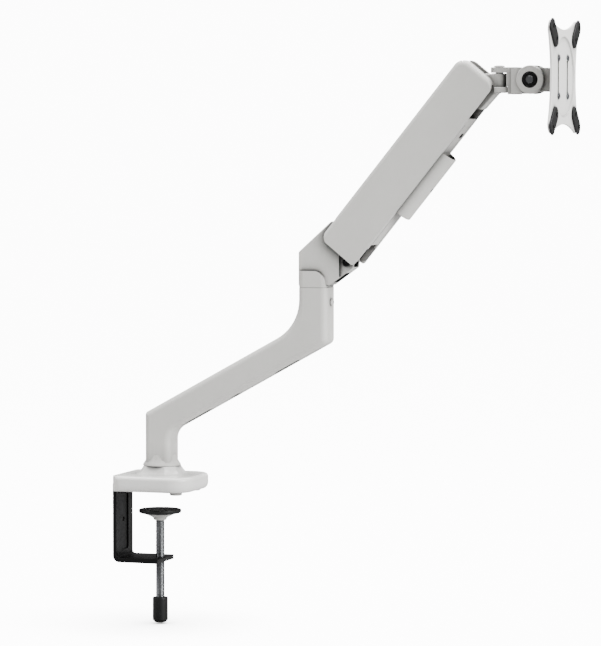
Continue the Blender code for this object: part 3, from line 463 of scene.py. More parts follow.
def slab(
    name: str,
    corners: Sequence[Corner],
    span: Point2,
    edge: float = 0.0,
    kept: Iterable[int] = (),
    plane: Plane = Plane.SIDE,
    steps: int = 7,
) -> Piece:
    """A cornered profile with rounded long edges.

    Args:
        name: Name of the new piece.
        corners: Profile corners with their radii.
        span: Lowest and highest depth square to the profile.
        edge: Rounding radius of the long edges.
        kept: Sides that stay flat to the end faces.
        plane: Plane of the profile.
        steps: Segments across each rounded edge.

    Returns:
        The new piece.
    """
    loops = []
    for depth, move in edge_stations(span[0], span[1], edge, steps):
        loops.append([plane.point(u, v, depth) for u, v in rounded(inset(corners, move, kept))])
    return loft(name, loops)


def panel(
    name: str,
    outline: Sequence[Point2],
    span: Point2,
    plane: Plane,
    edge: float = 0.0,
    steps: int = 4,
) -> Piece:
    """A dense outline with small rounded edges, grown square to its plane."""
    loops = []
    for depth, move in edge_stations(span[0], span[1], edge, steps):
        shape = shrink(outline, move) if move > 0 else outline
        loops.append([plane.point(u, v, depth) for u, v in shape])
    return loft(name, loops)


def lathe(
    name: str,
    profile: Sequence[Point2],
    steps: int = 72,
    ring: bool = False,
    swell: Callable[[float, float, float], float] | None = None,
) -> Piece:
    """A solid turned round Z.

    Args:
        name: Name of the new piece.
        profile: (radius, z) points.
        steps: Segments round the axis.
        ring: The profile is a closed loop round a hole.
        swell: Gives the radius at (angle, radius, z), for threads and ribs.

    Returns:
        The new piece.
    """
    loops = []
    for radius, z in profile:
        loop = []
        for k in range(steps):
            angle = 2 * math.pi * k / steps
            r = swell(angle, radius, z) if swell else radius
            loop.append((r * math.cos(angle), r * math.sin(angle), z))
        loops.append(loop)
    return loft(name, loops, ring)


def box(low: Point3, high: Point3) -> Piece:
    """A plain block, used only as a cutting tool."""
    outline = [(u, v) for u, v, _ in rectangle(low[:2], high[:2], 0)]
    return panel("tool", outline, (low[2], high[2]), Plane.PLAN)


def stand(piece: Piece, place: Point3, axis: Point3 = (0, 0, 1)) -> Piece:
    """Turn a piece made round Z onto an axis and move it, in its mesh."""
    turn = Vector((0, 0, 1)).rotation_difference(Vector(axis)).to_matrix().to_4x4()
    piece.data.transform(Matrix.Translation(Vector(place) * MM) @ turn)
    return piece


def slope(piece: Piece, place: Point3, angle: float) -> Piece:
    """Raise a piece made along X to an angle above the level and move it."""
    turn = Matrix.Rotation(-math.radians(angle), 4, "Y")
    piece.data.transform(Matrix.Translation(Vector(place) * MM) @ turn)
    return piece


def bore(start: Point3, end: Point3, radius: float, steps: int = 48) -> Piece:
    """A round drilling tool between two points."""
    length = (Vector(end) - Vector(start)).length
    return stand(lathe("tool", [(radius, 0), (radius, length)], steps), start, Vector(end) - Vector(start))


def cross_bore(x: float, z: float, radius: float, reach: float = 30) -> Piece:
    """A drilling tool along Y, from one side of the arm through to the other."""
    return bore((x, -reach, z), (x, reach, z), radius)


def combine(piece: Piece, tools: Sequence[Piece], operation: str = "DIFFERENCE") -> Piece:
    """Cut tools from a piece, or add them to it.

    Args:
        piece: The piece to change.
        tools: Solids used up by the change.
        operation: DIFFERENCE to cut or UNION to add.

    Returns:
        The changed piece.
    """
    for tool in tools:
        modifier = piece.modifiers.new("shape", "BOOLEAN")
        modifier.operation = operation
        modifier.solver = "EXACT"
        modifier.object = tool
        graph = bpy.context.evaluated_depsgraph_get()
        mesh = bpy.data.meshes.new_from_object(piece.evaluated_get(graph))
        piece.modifiers.remove(modifier)
        old, piece.data = piece.data, mesh
        bpy.data.meshes.remove(old)
        bpy.data.objects.remove(tool)
    smooth_by_angle(piece.data)
    return piece


def soften(piece: Piece, width: float, segments: int = 2) -> Piece:
    """Round the crisp edges that cutting left."""
    modifier = piece.modifiers.new("soft_edges", "BEVEL")
    modifier.width = width * MM
    modifier.segments = segments
    modifier.limit_method = "ANGLE"
    modifier.angle_limit = math.radians(40)
    modifier.harden_normals = True
    modifier.miter_outer = "MITER_ARC"
    return piece


def socket_screw(name: str, seat: Point3, axis: Point3, head: Point2, shank: Point2, key: float) -> Piece:
    """A screw with a domed head and a hexagon socket.

    Args:
        name: Name of the piece.
        seat: Point under the head, on the screw's axis.
        axis: Direction in which the head stands out.
        head: Head radius and height.
        shank: Shank radius and length.
        key: Across-corner radius of the socket.

    Returns:
        The screw.
    """
    radius, height = head
    dome = [(radius * math.cos(a), height * (0.35 + 0.65 * math.sin(a))) for a in (0, 0.3, 0.6, 0.9, 1.15)]
    profile = [(shank[0] * 0.8, -shank[1]), (shank[0], -shank[1] + 0.5), (shank[0], 0), (radius, 0), *dome]
    screw = lathe(name, profile, 40)
    combine(screw, [lathe("tool", [(key, height * 0.25), (key, height + 1)], 6)])
    return stand(screw, seat, axis)


def add(piece: Piece, body: str, finish: Finish, slot: str, *nodes: str) -> Piece:
    """Dress a piece, fix it to its body and let it stand for CAD nodes.

    Args:
        piece: The finished shape.
        body: CAD body it moves with.
        finish: Its finish.
        slot: Material slot of the record; not used.
        nodes: CAD nodes it replaces.

    Returns:
        The piece.
    """
    piece.data.materials.clear()
    piece.data.materials.append(KIT.material(finish))
    shading = piece.modifiers.new("flat_face_shading", "WEIGHTED_NORMAL")
    shading.keep_sharp = True
    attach(piece, body)
    if nodes:
        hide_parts(*nodes)
    LOG.info("%s on %s in %s", piece.name, body, finish.name)
    return piece


def dress(finish: Finish, *nodes: str) -> None:
    """Give CAD nodes whose shape is right a finish."""
    for name in nodes:
        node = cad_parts[name]
        node.data.materials.clear()
        node.data.materials.append(KIT.material(finish))
        LOG.info("%s keeps its shape, in %s", name, finish.name)


# --- base and clamp

@dataclass
class Base:
    """Base casting on its feet, with the pivot post and the clamp bracket."""

    back: float = -42.1
    front: float = 43.0
    half_width: float = 42.0
    bottom: float = 3.0
    top: float = 19.3
    boss_top: float = 28.3
    post_bore: float = 9.3
    bracket_inner: float = -42.4
    bracket_thickness: float = 4.0
    bracket_span: Point2 = (-73.4, 10.0)
    bracket_reach: float = 4.0
    bracket_half: float = 24.0
    spindle_x: float = -2.2
    hollow: Point2 = (13.3, 9.3)
    skirt: Point2 = (5.0, 7.0)
    shoulder: float = 4.0
    bolt: Point2 = (14.0, 6.0)
    cable_hole_z: float = -30.2
    foot: Point2 = (26.0, 27.0)

    def plan(self, move: float, blend: float, boss: float, z: float) -> list[Point3]:
        """One level of the casting, between the rounded square and the round boss.

        Args:
            move: Inset of the rounded square.
            blend: 0 for the square, 1 for the circle.
            boss: Radius of the circle.
            z: Height of the level.

        Returns:
            The loop at that level.
        """
        low, high = (self.back, -self.half_width), (self.front, self.half_width)
        loop = []
        for x, y in rounded(inset(rectangle(low, high, 11, 22, 22, 11), move, (3,) if blend == 0 else ())):
            scale = (1 - blend) + blend * boss / math.hypot(x, y)
            loop.append((x * scale, y * scale, z))
        return loop

    def casting(self) -> Piece:
        """Build the base casting with its soft shoulders and boss."""
        radius, roof = self.hollow
        (tuck, rise), soft, boss_top = self.skirt, self.shoulder, self.boss_top
        inside = [(self.post_bore, roof), (radius, roof), (radius, self.bottom)]
        levels = [self.plan(0, 1, r, z) for r, z in inside]
        quarter = [math.pi / 2 * k / 6 for k in range(7)]
        for a in quarter:
            levels.append(self.plan(tuck * (1 - math.sin(a)), 0, 0, self.bottom + rise * (1 - math.cos(a))))
        for a in quarter:
            levels.append(self.plan(soft * (1 - math.cos(a)), 0, 0, self.top - soft * (1 - math.sin(a))))
        levels.append(self.plan(7, 0.15, 30, self.top + 0.25))
        boss = [(28.5, 19.9), (26.2, 21), (24.3, 22.6), (22.6, 24.6), (21.3, 26.4), (20.6, 27.6)]
        boss += [(20.0, boss_top), (self.post_bore, boss_top)]
        levels += [self.plan(0, 1, r, z) for r, z in boss]
        return loft("base_body", levels, ring=True)

    def bracket(self) -> Piece:
        """Build the bent clamp bracket with its pressed recess and holes."""
        inner = self.bracket_inner
        outer = inner - self.bracket_thickness
        low, high = self.bracket_span
        corners = [
            (outer, high, 1.2),
            (outer, low, 7),
            (self.bracket_reach, low, 0.8),
            (self.bracket_reach, low + 5, 0.8),
            (inner, low + 5, 3),
            (inner, high, 1.2),
        ]
        half = self.bracket_half
        bracket = slab("bent_bracket", corners, (-half, half), 0.7, steps=3)
        shape = [(y, z) for z, y in rounded(rectangle((-62, -11), (1, 11), 4))]
        spread, level = self.bolt
        tools = [
            panel("tool", shape, (inner - 1.2, inner + 2), Plane.FRONT),
            bore((outer - 5, 0, self.cable_hole_z), (inner + 5, 0, self.cable_hole_z), 2.6),
            bore((self.spindle_x, 0, low - 9), (self.spindle_x, 0, low + 9), 5.05),
        ]
        tools += [bore((outer - 5, y, level), (inner + 5, y, level), 2.0) for y in (-spread, spread)]
        return combine(bracket, tools)

    def build(self) -> None:
        """Build and dress every piece of the base."""
        add(self.casting(), "base", Kit.WHITE, "white_cast", "base_casting")
        add(self.bracket(), "base", Kit.BLACK_STEEL, "black_steel", "clamp_bracket")
        outer = self.bracket_inner - self.bracket_thickness
        spread, level = self.bolt
        foot_x, foot_y = self.foot
        for side, sign in (("near", -1), ("far", 1)):
            seat = (outer - GAP, sign * spread, level)
            screw = socket_screw(f"bracket_bolt_{side}", seat, (-1, 0, 0), (3.3, 2.0), (1.6, 14), 1.5)
            add(screw, "base", Kit.BLACK_OXIDE, "black_steel", f"bracket_screw_{side}")
            foot = lathe(f"round_foot_{side}", [(5.2, 0), (6.1, 0.3), (6.5, 1.1), (6.5, 2.7)])
            stand(foot, (foot_x, sign * foot_y, 0))
            add(foot, "base", Kit.PALE_RUBBER, "grey_rubber", f"front_foot_{side}")
        pad = lathe("ribbed_centre_pad", [(9.2, 0), (9.7, 0.6), (9.7, 4.7)])
        add(pad, "base", Kit.RUBBER, "rubber", "centre_pad")
        strip = slab("rear_strip", rectangle((-40, 0), (-31, 2.7), 0.8, 0.8, 0.5, 0.5), (-24, 24), 0.6)
        add(strip, "base", Kit.RUBBER, "rubber", "rear_pad")
        dress(Kit.ZINC, "pivot_post")
        dress(Kit.NYLON, "base_washer")


@dataclass
class Clamp:
    """Pressure pad, threaded spindle and ribbed grip under the desk."""

    x: float = -2.2
    pad_top: float = -18.0
    pad_radius: float = 22.4
    rod_radius: float = 4.75
    pitch: float = 1.5
    grip_span: Point2 = (-137.4, -110.9)
    grip_radius: float = 8.1
    dimples: int = 8
    ribs: int = 22
    dimple_circle: float = 12.8
    thread_depth: float = 0.42

    def pad(self) -> Piece:
        """Build the round pad with a sunken ring line and a ring of dimples."""
        top, radius = self.pad_top, self.pad_radius
        rim = [(2.2, 4.2), (0.5, 3.5), (0, 2.4), (0, 1.0), (0.3, 0.3), (1.0, 0)]
        rim += [(3.4, 0), (3.8, 0.5), (4.6, 0.5), (5.0, 0)]
        pad = lathe("pressure_pad", [(radius - c, top - d) for c, d in rim], 96)
        tools = []
        for k in range(self.dimples):
            angle, circle = 2 * math.pi * (k + 0.5) / self.dimples, self.dimple_circle
            spot = (circle * math.cos(angle), circle * math.sin(angle), top - 1.0)
            tools.append(stand(lathe("tool", [(0.9, 0), (1.3, 2)], 20), spot))
        return stand(combine(pad, tools), (self.x, 0, 0))

    def rod(self) -> Piece:
        """Build the spindle with a real helical thread."""
        low, high = -124.5, self.pad_top - 6.9
        start, end, depth = -110.5, high - 2.5, self.thread_depth

        def thread(angle: float, radius: float, z: float) -> float:
            """Radius of the rod at one point of the helix."""
            if z < start or z > end:
                return radius - (depth if z <= low or z >= high else 0.1)
            phase = (z / self.pitch - angle / (2 * math.pi)) % 1.0
            return radius - depth * abs(2 * phase - 1)

        count = round((high - low) / (self.pitch / 6))
        profile = [(self.rod_radius, low + (high - low) * k / count) for k in range(count + 1)]
        rod = lathe("threaded_spindle", profile, 36, swell=thread)
        smooth_by_angle(rod.data, 60)
        return stand(rod, (self.x, 0, 0))

    def grip(self) -> Piece:
        """Build the grip with its fine ribs and chamfered end."""
        low, high = self.grip_span
        radius = self.grip_radius

        def ribbed(angle: float, r: float, z: float) -> float:
            """Radius with the ribs, which fade out at both ends."""
            if r < radius - 0.2 or z > high - 2.2 or z < low + 2.8:
                return r
            return r - 0.45 * (0.5 - 0.5 * math.cos(self.ribs * angle))

        profile = [(4.9, low + 0.6), (5.3, low), (radius - 2.2, low), (radius - 0.2, low + 2.2)]
        profile.append((radius, low + 2.7))
        profile += [(radius, low + 2.9 + (high - low - 5.2) * k / 6) for k in range(7)]
        profile += [(radius - c, high - d) for c, d in ((0, 2.0), (0, 0.9), (0.4, 0.2), (1.0, 0))]
        profile += [(5.1, high), (5.1, low + 12.6)]
        return stand(lathe("ribbed_grip", profile, self.ribs * 8), (self.x, 0, 0))

    def build(self) -> None:
        """Build and dress the clamp's pieces."""
        add(self.pad(), "clamp_pressure_pad", Kit.BLACK_NYLON, "black_plastic", "clamp_pad")
        top = self.pad_top
        hub = [(5.05, top - 7), (5.05, top - 11.5), (6.0, top - 11.5), (6.5, top - 11.1), (7.4, top - 9.2)]
        hub += [(9, top - 8.0), (14.4, top - 5.7), (15, top - 5.2), (15, top - 4.6), (5.05, top - 4.6)]
        piece = stand(lathe("swivel_hub", hub, 72, ring=True), (self.x, 0, 0))
        add(piece, "clamp_pressure_pad", Kit.ABS, "grey_plastic", "clamp_pad_hub")
        add(self.rod(), "clamp_spindle", Kit.ZINC, "steel", "clamp_screw")
        add(self.grip(), "clamp_spindle", Kit.BLACK_NYLON, "black_plastic", "clamp_grip")


# --- lower arm

@dataclass
class LowerArm:
    """Cast lower arm: column, sloping beam and elbow column, with a cable channel."""

    bottom: float = 28.7
    half_width: float = 15.5
    column_half: float = 14.2
    beam_angle: float = 28.95
    back_top: float = 84.4
    under_front: float = 65.6
    elbow_x: float = 171.4
    elbow_half: float = 15.6
    seam: float = 218.1
    channel_start: float = 24.0
    channel_length: float = 172.0
    windows: tuple[Point2, ...] = ((0.02, 0.21), (0.36, 0.42), (0.68, 0.85))
    base_screw_z: float = 41.5
    elbow_screw_z: float = 203.0

    def underside(self, x: float) -> float:
        """Height of the beam's underside at x."""
        return self.under_front + math.tan(math.radians(self.beam_angle)) * (x - self.column_half)

    def along_beam(self, piece: Piece) -> Piece:
        """Move a piece made along X to the start of the cable channel, under the beam."""
        start = self.channel_start
        return slope(piece, (start, 0, self.underside(start)), self.beam_angle)

    def casting(self) -> Piece:
        """Build the casting with its rounded edges, flare, bores and channel."""
        rise = math.tan(math.radians(self.beam_angle))
        back, front = self.elbow_x - self.elbow_half, self.elbow_x + self.elbow_half
        half = self.half_width
        corners = [
            (-self.column_half, self.bottom, 0),
            (self.column_half, self.bottom, 0),
            (self.column_half, self.under_front, 16),
            (front, self.underside(front), 7),
            (front, self.seam, 0),
            (back, self.seam, 0),
            (back, self.back_top + rise * (back + self.column_half), 46),
            (-self.column_half, self.back_top, 4),
        ]
        arm = slab("cast_lower_arm", corners, (-half, half), 6.4, (0, 4))
        flare = [(20, 28.7), (19.9, 29.6), (19.3, 30.8), (18.2, 32.4), (17.2, 34.2), (16.4, 36.6)]
        flare += [(15.8, 39.6), (14.2, 41.5)]
        combine(arm, [lathe("tool", flare)], "UNION")
        x, low, high = self.elbow_x, self.base_screw_z, self.elbow_screw_z
        tools = [
            bore((0, 0, 0), (0, 0, 76), 11.5),
            bore((0, 0, 0), (0, 0, self.bottom + 1.2), 17.3),
            bore((x, 0, 173), (x, 0, 240), 11.5),
            bore((-25, 0, low), (0, 0, low), 3.3),
            bore((x, 0, high), (x + 25, 0, high), 2.9),
            self.along_beam(box((0, -9, -5), (self.channel_length, 9, 13))),
        ]
        return soften(combine(arm, tools), 0.35)

    def cable_cover(self) -> Piece:
        """Build the snap-in cover of the cable channel, with its open windows."""
        run = self.channel_length
        cover = slab("snap_in_cover", rectangle((0.4, 0.4), (run - 0.4, 2.8), 0), (-8.6, 8.6), 0.5)
        tools = []
        for low, high in self.windows:
            window = rectangle((low * run, -6.8), (high * run, 6.8), 1.6)
            tools.append(panel("tool", rounded(window), (-2, 5), Plane.PLAN))
        return self.along_beam(combine(cover, tools))

    def build(self) -> None:
        """Build and dress the lower arm."""
        add(self.casting(), "lower_arm", Kit.ARM, "grey_cast", "lower_arm_casting")
        add(self.cable_cover(), "lower_arm", Kit.ABS, "grey_plastic", "lower_cable_cover")
        seat = (-14.6, 0, self.base_screw_z)
        screw = socket_screw("base_grub_screw", seat, (-1, 0, 0), (3.0, 1.8), (2.9, 3.0), 1.6)
        add(screw, "lower_arm", Kit.BLACK_OXIDE, "black_steel", "base_tension_screw")
        seat = (self.elbow_x + self.elbow_half + GAP, 0, self.elbow_screw_z)
        screw = socket_screw("elbow_clamp_screw", seat, (1, 0, 0), (4.0, 2.8), (2.6, 4.0), 2.0)
        add(screw, "lower_arm", Kit.HEAD, "black_steel", "elbow_tension_screw")
        dress(Kit.NYLON, "lower_bush", "elbow_bush")


# --- elbow

@dataclass
class Elbow:
    """Elbow bracket that turns on the lower arm and carries both links."""

    x: float = 171.4
    half: float = 15.6
    bottom: float = 218.5
    collar_top: float = 235.4
    pivot: Point2 = (203.0, 262.0)
    link: Point2 = (207.66, 244.61)
    spring: Point2 = (204.2, 250.3)
    apex: Point2 = (192.5, 287.9)
    back_top: float = 254.7

    def bracket(self) -> Piece:
        """Build the cast bracket: collar, sloping root and forked tongue."""
        back = self.x - self.half
        bottom = self.bottom
        outline = [(back, bottom + 2, 0), (188.3, bottom + 2, 1), (214.2, 239.0, 1.6), (215.2, 250.0, 4)]
        outline += [(214, 272, 9), (197, 276, 3), (*self.apex, 2.0), (back, self.back_top, 2.5)]
        body = slab("cast_elbow_bracket", outline, (-13, 13), 1.6, steps=4)
        collar = rectangle((back, bottom), (187, self.collar_top), 0, 0, 13, 0.6)
        combine(body, [slab("tool", collar, (-15.5, 15.5), 6.4, (0, 2))], "UNION")
        tools = [box((200, low, 200), (240, low + 9.2, 300)) for low in (-20.0, 10.8)]
        tools += [
            bore((self.x, 0, 200), (self.x, 0, 232.5), 9.3),
            bore((self.x, 0, 200), (self.x, 0, bottom + 1.2), 14.3),
            box((192, -7.2, 239.5), (250, 7.2, 320)),
            slope(box((5, -8, -3), (22, 8, 5)), (188.3, 0, bottom + 2), 36),
        ]
        for place, radius in ((self.pivot, 4.3), (self.link, 2.8), (self.spring, 2.5)):
            tools.append(cross_bore(*place, radius))
        return soften(combine(body, tools), 0.4)

    def build(self) -> None:
        """Build and dress the elbow."""
        # The bracket's finish paints dark shade where the arm's cover overhangs it.
        add(self.bracket(), "elbow", Kit.JOINT_IN_PAINTED_SHADE, "grey_cast", "elbow_bracket")
        for side in ("near", "far"):
            dress(Kit.ZINC, f"elbow_main_pin_{side}")
            dress(Kit.BLACK_OXIDE, f"elbow_link_screw_{side}")
        dress(Kit.ZINC, "elbow_shaft", "spring_pin")
        dress(Kit.NYLON, "elbow_washer")


# --- upper arm

@dataclass
class UpperArm:
    """Moulded cover over the spring frame, with the clip under it."""

    angle: float = 51.0
    pivot: Point2 = (203.0, 262.0)
    half_width: float = 18.0
    wall: float = 2.6
    low: float = -23.9
    high: float = 22.6
    start: float = -7.9
    end: float = 230.6
    clip_span: Point2 = (63.1, 141.6)
    clip_half: float = 13.0
    clip_depth: float = 12.4
    clip_wall: float = 1.8
    strip_span: Point2 = (14.6, 185.6)
    strip_screw: Point2 = (163.6, 5.0)

    def onto_arm(self, piece: Piece) -> Piece:
        """Move a piece from the arm's own frame to its place."""
        return slope(piece, (self.pivot[0], 0, self.pivot[1]), self.angle)

    def cover(self) -> Piece:
        """Build the long cover with its soft upper edges and openings."""
        half, inner = self.half_width, self.half_width - self.wall
        corners = rectangle((self.start, self.low), (self.end, self.high), 9, 10, 12, 9)
        cover = slab("long_cover", corners, (-half, half), 5.4, (0, 3), steps=9)
        tools = [
            box((self.start - 5, -inner, self.low - 5), (self.end - 3, inner, self.high - self.wall)),
            box((self.start - 5, -inner, 5), (17.6, inner, self.high + 5)),
            box((self.end - 12, -9, self.low - 5), (self.end + 5, 9, self.high + 5)),
        ]
        return self.onto_arm(soften(combine(cover, tools), 0.35))

    @staticmethod
    def half_round(half: float, depth: float, top: float) -> list[Point2]:
        """Outline of half an ellipse that hangs from a level."""
        turns = [math.pi * k / 36 for k in range(37)]
        return [(-half * math.cos(turn), top - depth * math.sin(turn)) for turn in turns]

    def clip(self) -> Piece:
        """Build the half-round cable clip with a soft outer edge."""
        top = self.low - GAP
        half, depth, wall = self.clip_half, self.clip_depth, self.clip_wall
        low, high = self.clip_span
        clip = panel("half_round_clip", self.half_round(half, depth, top), (low, high), Plane.FRONT, 0.9, 3)
        middle = (low + high) / 2
        inside = self.half_round(half - wall, depth - 2 * wall, top - wall)
        tools = [
            panel("tool", inside, (low - 5, high + 5), Plane.FRONT),
            bore((middle, 0, top - 20), (middle, 0, top - 6), 2.9),
            bore((middle, 0, top - 6), (middle, 0, top + 5), 1.7),
        ]
        return self.onto_arm(soften(combine(clip, tools), 0.3))

    def bottom_cover(self) -> Piece:
        """Build the cover strip between the two sides, with two grooves cut along its underside."""
        inner = self.half_width - self.wall - GAP
        start, end = self.strip_span
        corners = rectangle((start, -inner), (end, inner), 2)
        strip = slab("bottom_strip", corners, (self.low, self.low + 1.5), 0.4, plane=Plane.PLAN, steps=3)
        places = ((sum(self.clip_span) / 2, 0), self.strip_screw)
        tools = [bore((x, y, -40), (x, y, 0), 1.7) for x, y in places]
        tools.append(box((10, -11.3, -30), (20, 11.3, -20)))
        for y in (-10, 10):
            groove = rounded(rectangle((22, y - 0.6), (178, y + 0.6), 0.5))
            tools.append(panel("tool", groove, (self.low - 1, self.low + 0.45), Plane.PLAN))
        return self.onto_arm(combine(strip, tools))

    def screws(self) -> None:
        """Build the two small screws under the arm."""
        down = (0, 0, -1)
        seat = (sum(self.clip_span) / 2, 0, self.low - 2.4)
        screw = socket_screw("clip_fixing", seat, down, (2.6, 1.6), (1.4, 3.6), 1.2)
        add(self.onto_arm(screw), "upper_arm", Kit.ZINC, "steel", "clip_screw")
        seat = (*self.strip_screw, self.low - GAP)
        screw = socket_screw("strip_fixing", seat, down, (2.8, 1.0), (1.4, 2.6), 1.2)
        add(self.onto_arm(screw), "upper_arm", Kit.BLACK_OXIDE, "steel", "underside_screw")

    def build(self) -> None:
        """Build and dress the upper arm, its spring and its links."""
        add(self.cover(), "upper_arm", Kit.ARM, "grey_cast", "upper_arm_cover")
        add(self.clip(), "upper_arm", Kit.ABS, "grey_plastic", "cable_clip")
        add(self.bottom_cover(), "upper_arm", Kit.ABS, "grey_plastic", "bottom_cover")
        self.screws()
        dress(Kit.BLACK_STEEL, "upper_arm_frame", "gas_spring_cylinder", "lower_link_near", "lower_link_far")
        dress(Kit.ZINC, "spring_carriage", "spring_adjuster_bolt", "gas_spring_rod")


# --- head

@dataclass
class Head:
    """Head bracket, swivel yoke and tilt knuckle between the arm and the plate."""

    pivot: Point2 = (335.157, 425.201)
    link: Point2 = (339.817, 407.811)
    swivel_x: float = 366.2
    bottom: float = 417.9
    boss_top: float = 437.0
    boss_radius: float = 8.3
    ledge_top: float = 423.3
    ledge_radius: float = 13.3
    neck_half: float = 8.3
    yoke_top: float = 443.4
    yoke_bottom: float = 416.0
    tilt: Point2 = (401.7, 430.8)
    ear_radius: float = 14.5
    ear_inner: float = 9.0
    ear_outer: float = 14.0

    def bracket(self) -> Piece:
        """Build the head bracket: neck, cross hub, boss and the front ledge."""
        (px, pz), (lx, lz) = self.pivot, self.link
        x = self.swivel_x
        corners = [
            (px - 3, self.boss_top, 6),
            (lx - 8, lz + 2, 4),
            (lx + 9.6, lz - 8.0, 4),
            (366.0, self.bottom, 6),
            (x + 2, self.bottom, 0),
            (x + 2, self.boss_top, 0),
        ]
        neck = slab("cast_head_bracket", corners, (-self.neck_half, self.neck_half), 1.8, (3, 4))
        hub = lathe("tool", [(11.6, -10.8), (12, -10.4), (12, 10.4), (11.6, 10.8)])
        combine(neck, [stand(hub, (px, 0, pz), (0, 1, 0))], "UNION")
        combine(neck, [box((x, -20, 400), (390, 20, 450))])
        r, top = self.boss_radius, self.boss_top
        boss = [(r, self.bottom - 0.4), (r, top - 0.3), (r - 0.2, top + 0.1), (r - 0.6, top + 0.3)]
        combine(neck, [stand(lathe("tool", boss), (x, 0, 0))], "UNION")
        r, top = self.ledge_radius, self.ledge_top
        rim = [(r - 1.2, self.bottom), (r - 0.4, self.bottom + 0.3), (r, self.bottom + 1.1)]
        ledge = stand(lathe("tool", rim + [(r, top - 0.4), (r - 0.4, top)]), (x, 0, 0))
        combine(ledge, [box((x - 30, -30, 400), (x - 1.6, 30, 440))])
        combine(neck, [ledge], "UNION")
        tools = [cross_bore(px, pz, 4.3), cross_bore(lx, lz, 2.8)]
        tools.append(bore((x, 0, self.bottom + 2), (x, 0, 460), 4.3))
        return soften(combine(neck, tools), 0.3)

    def yoke(self) -> Piece:
        """Build the yoke: lug over the boss, web and the two round ears."""
        x, (tx, tz) = self.swivel_x, self.tilt
        width, web_end, r = 8.6, 387.5, self.ear_radius
        low, high = self.yoke_bottom, self.yoke_top
        outline = arc((x, 0), width, 90, 270, 36) + [(web_end, -width), (web_end, width)]
        yoke = panel("cast_yoke", outline, (self.boss_top + 0.9, high), Plane.PLAN)
        web = box((375.9, 0.1 - width, low), (web_end, width - 0.1, high - 0.4))
        combine(yoke, [web], "UNION")
        top = self.ledge_top + 0.7
        combine(yoke, [bore((x, 0, 400), (x, 0, top), self.ledge_radius + 0.7, 96)])
        rim = ((1.4, 0), (0.5, 0.3), (0.1, 1.0), (0, 1.8))
        for sign in (-1, 1):
            inner, outer = sign * self.ear_inner, sign * self.ear_outer
            ear = [(r - c, outer - sign * d) for c, d in rim] + [(r, inner)]
            ear = stand(lathe("tool", ear[::-sign], 96), (tx, 0, tz), (0, 1, 0))
            combine(yoke, [ear], "UNION")
            near, far = sorted((sign * (width - 3), sign * (self.ear_outer - 2.5)))
            cheek = box((web_end - 6, near, low + 0.6), (tx - 9, far, high - 1))
            combine(yoke, [cheek], "UNION")
        tools = [
            bore((tx, -self.ear_inner, tz), (tx, self.ear_inner, tz), 13.5, 96),
            cross_bore(tx, tz, 4.3),
            bore((tx, -20, tz), (tx, -10.8, tz), 8.4),
            bore((tx, 10.8, tz), (tx, 20, tz), 8.4),
            bore((x, 0, 430), (x, 0, 460), 4.3),
        ]
        return soften(combine(yoke, tools), 0.35)

    def knuckle(self) -> Piece:
        """Build the block between the ears, which carries the plate's shaft."""
        low, high, face, shaft = 418.5, 442.8, 421.0, 433.3
        outline = arc(self.tilt, 12.2, 80, 280, 48)
        outline += [(face - 2, low), (face, low + 2), (face, high - 2), (face - 2, high)]
        block = panel("tilt_block", outline, (-8.7, 8.7), Plane.SIDE)
        tools = [cross_bore(*self.tilt, 4.3), bore((face - 10, 0, shaft), (face + 5, 0, shaft), 5.3)]
        return soften(combine(block, tools), 0.6, 3)

    def nut(self, name: str, start: float) -> Piece:
        """Build a hexagon nut with chamfered corners."""
        tx, tz = self.tilt

        def hexagon(angle: float, radius: float, z: float) -> float:
            """Distance to the nut's flats at an angle, cut back by the chamfer."""
            flat = 6.5 / math.cos((angle + math.pi / 6) % (math.pi / 3) - math.pi / 6)
            return min(flat, radius)

        profile = [(4.3, 0), (6.9, 0), (7.5, 0.45), (7.6, 1.0)]
        profile += [(r, 3.1 - z) for r, z in reversed(profile)]
        nut = lathe(name, profile, 72, ring=True, swell=hexagon)
        return stand(nut, (tx, start, tz), (0, 1, 0))

    def build(self) -> None:
        """Build and dress the head."""
        add(self.bracket(), "head", Kit.HEAD, "head_cast", "head_bracket")
        add(self.yoke(), "swivel", Kit.HEAD, "head_cast", "swivel_yoke")
        add(self.knuckle(), "tilt", Kit.HEAD, "head_cast", "tilt_knuckle")
        for side, start in (("near", -14.2), ("far", 11.1)):
            nut = self.nut(f"hexagon_nut_{side}", start)
            add(nut, "tilt", Kit.BLACK_OXIDE, "black_steel", f"tilt_nut_{side}")
        seat = (self.swivel_x, 0, self.yoke_top + GAP)
        bolt = socket_screw("swivel_cap_bolt", seat, (0, 0, 1), (5.6, 1.8), (4.0, 21.5), 2.6)
        add(bolt, "swivel", Kit.HEAD, "head_cast", "swivel_bolt")
        dress(Kit.OILED, "tilt_bolt")
        dress(Kit.ZINC, "head_main_pin", "head_link_pin")


# --- monitor plate

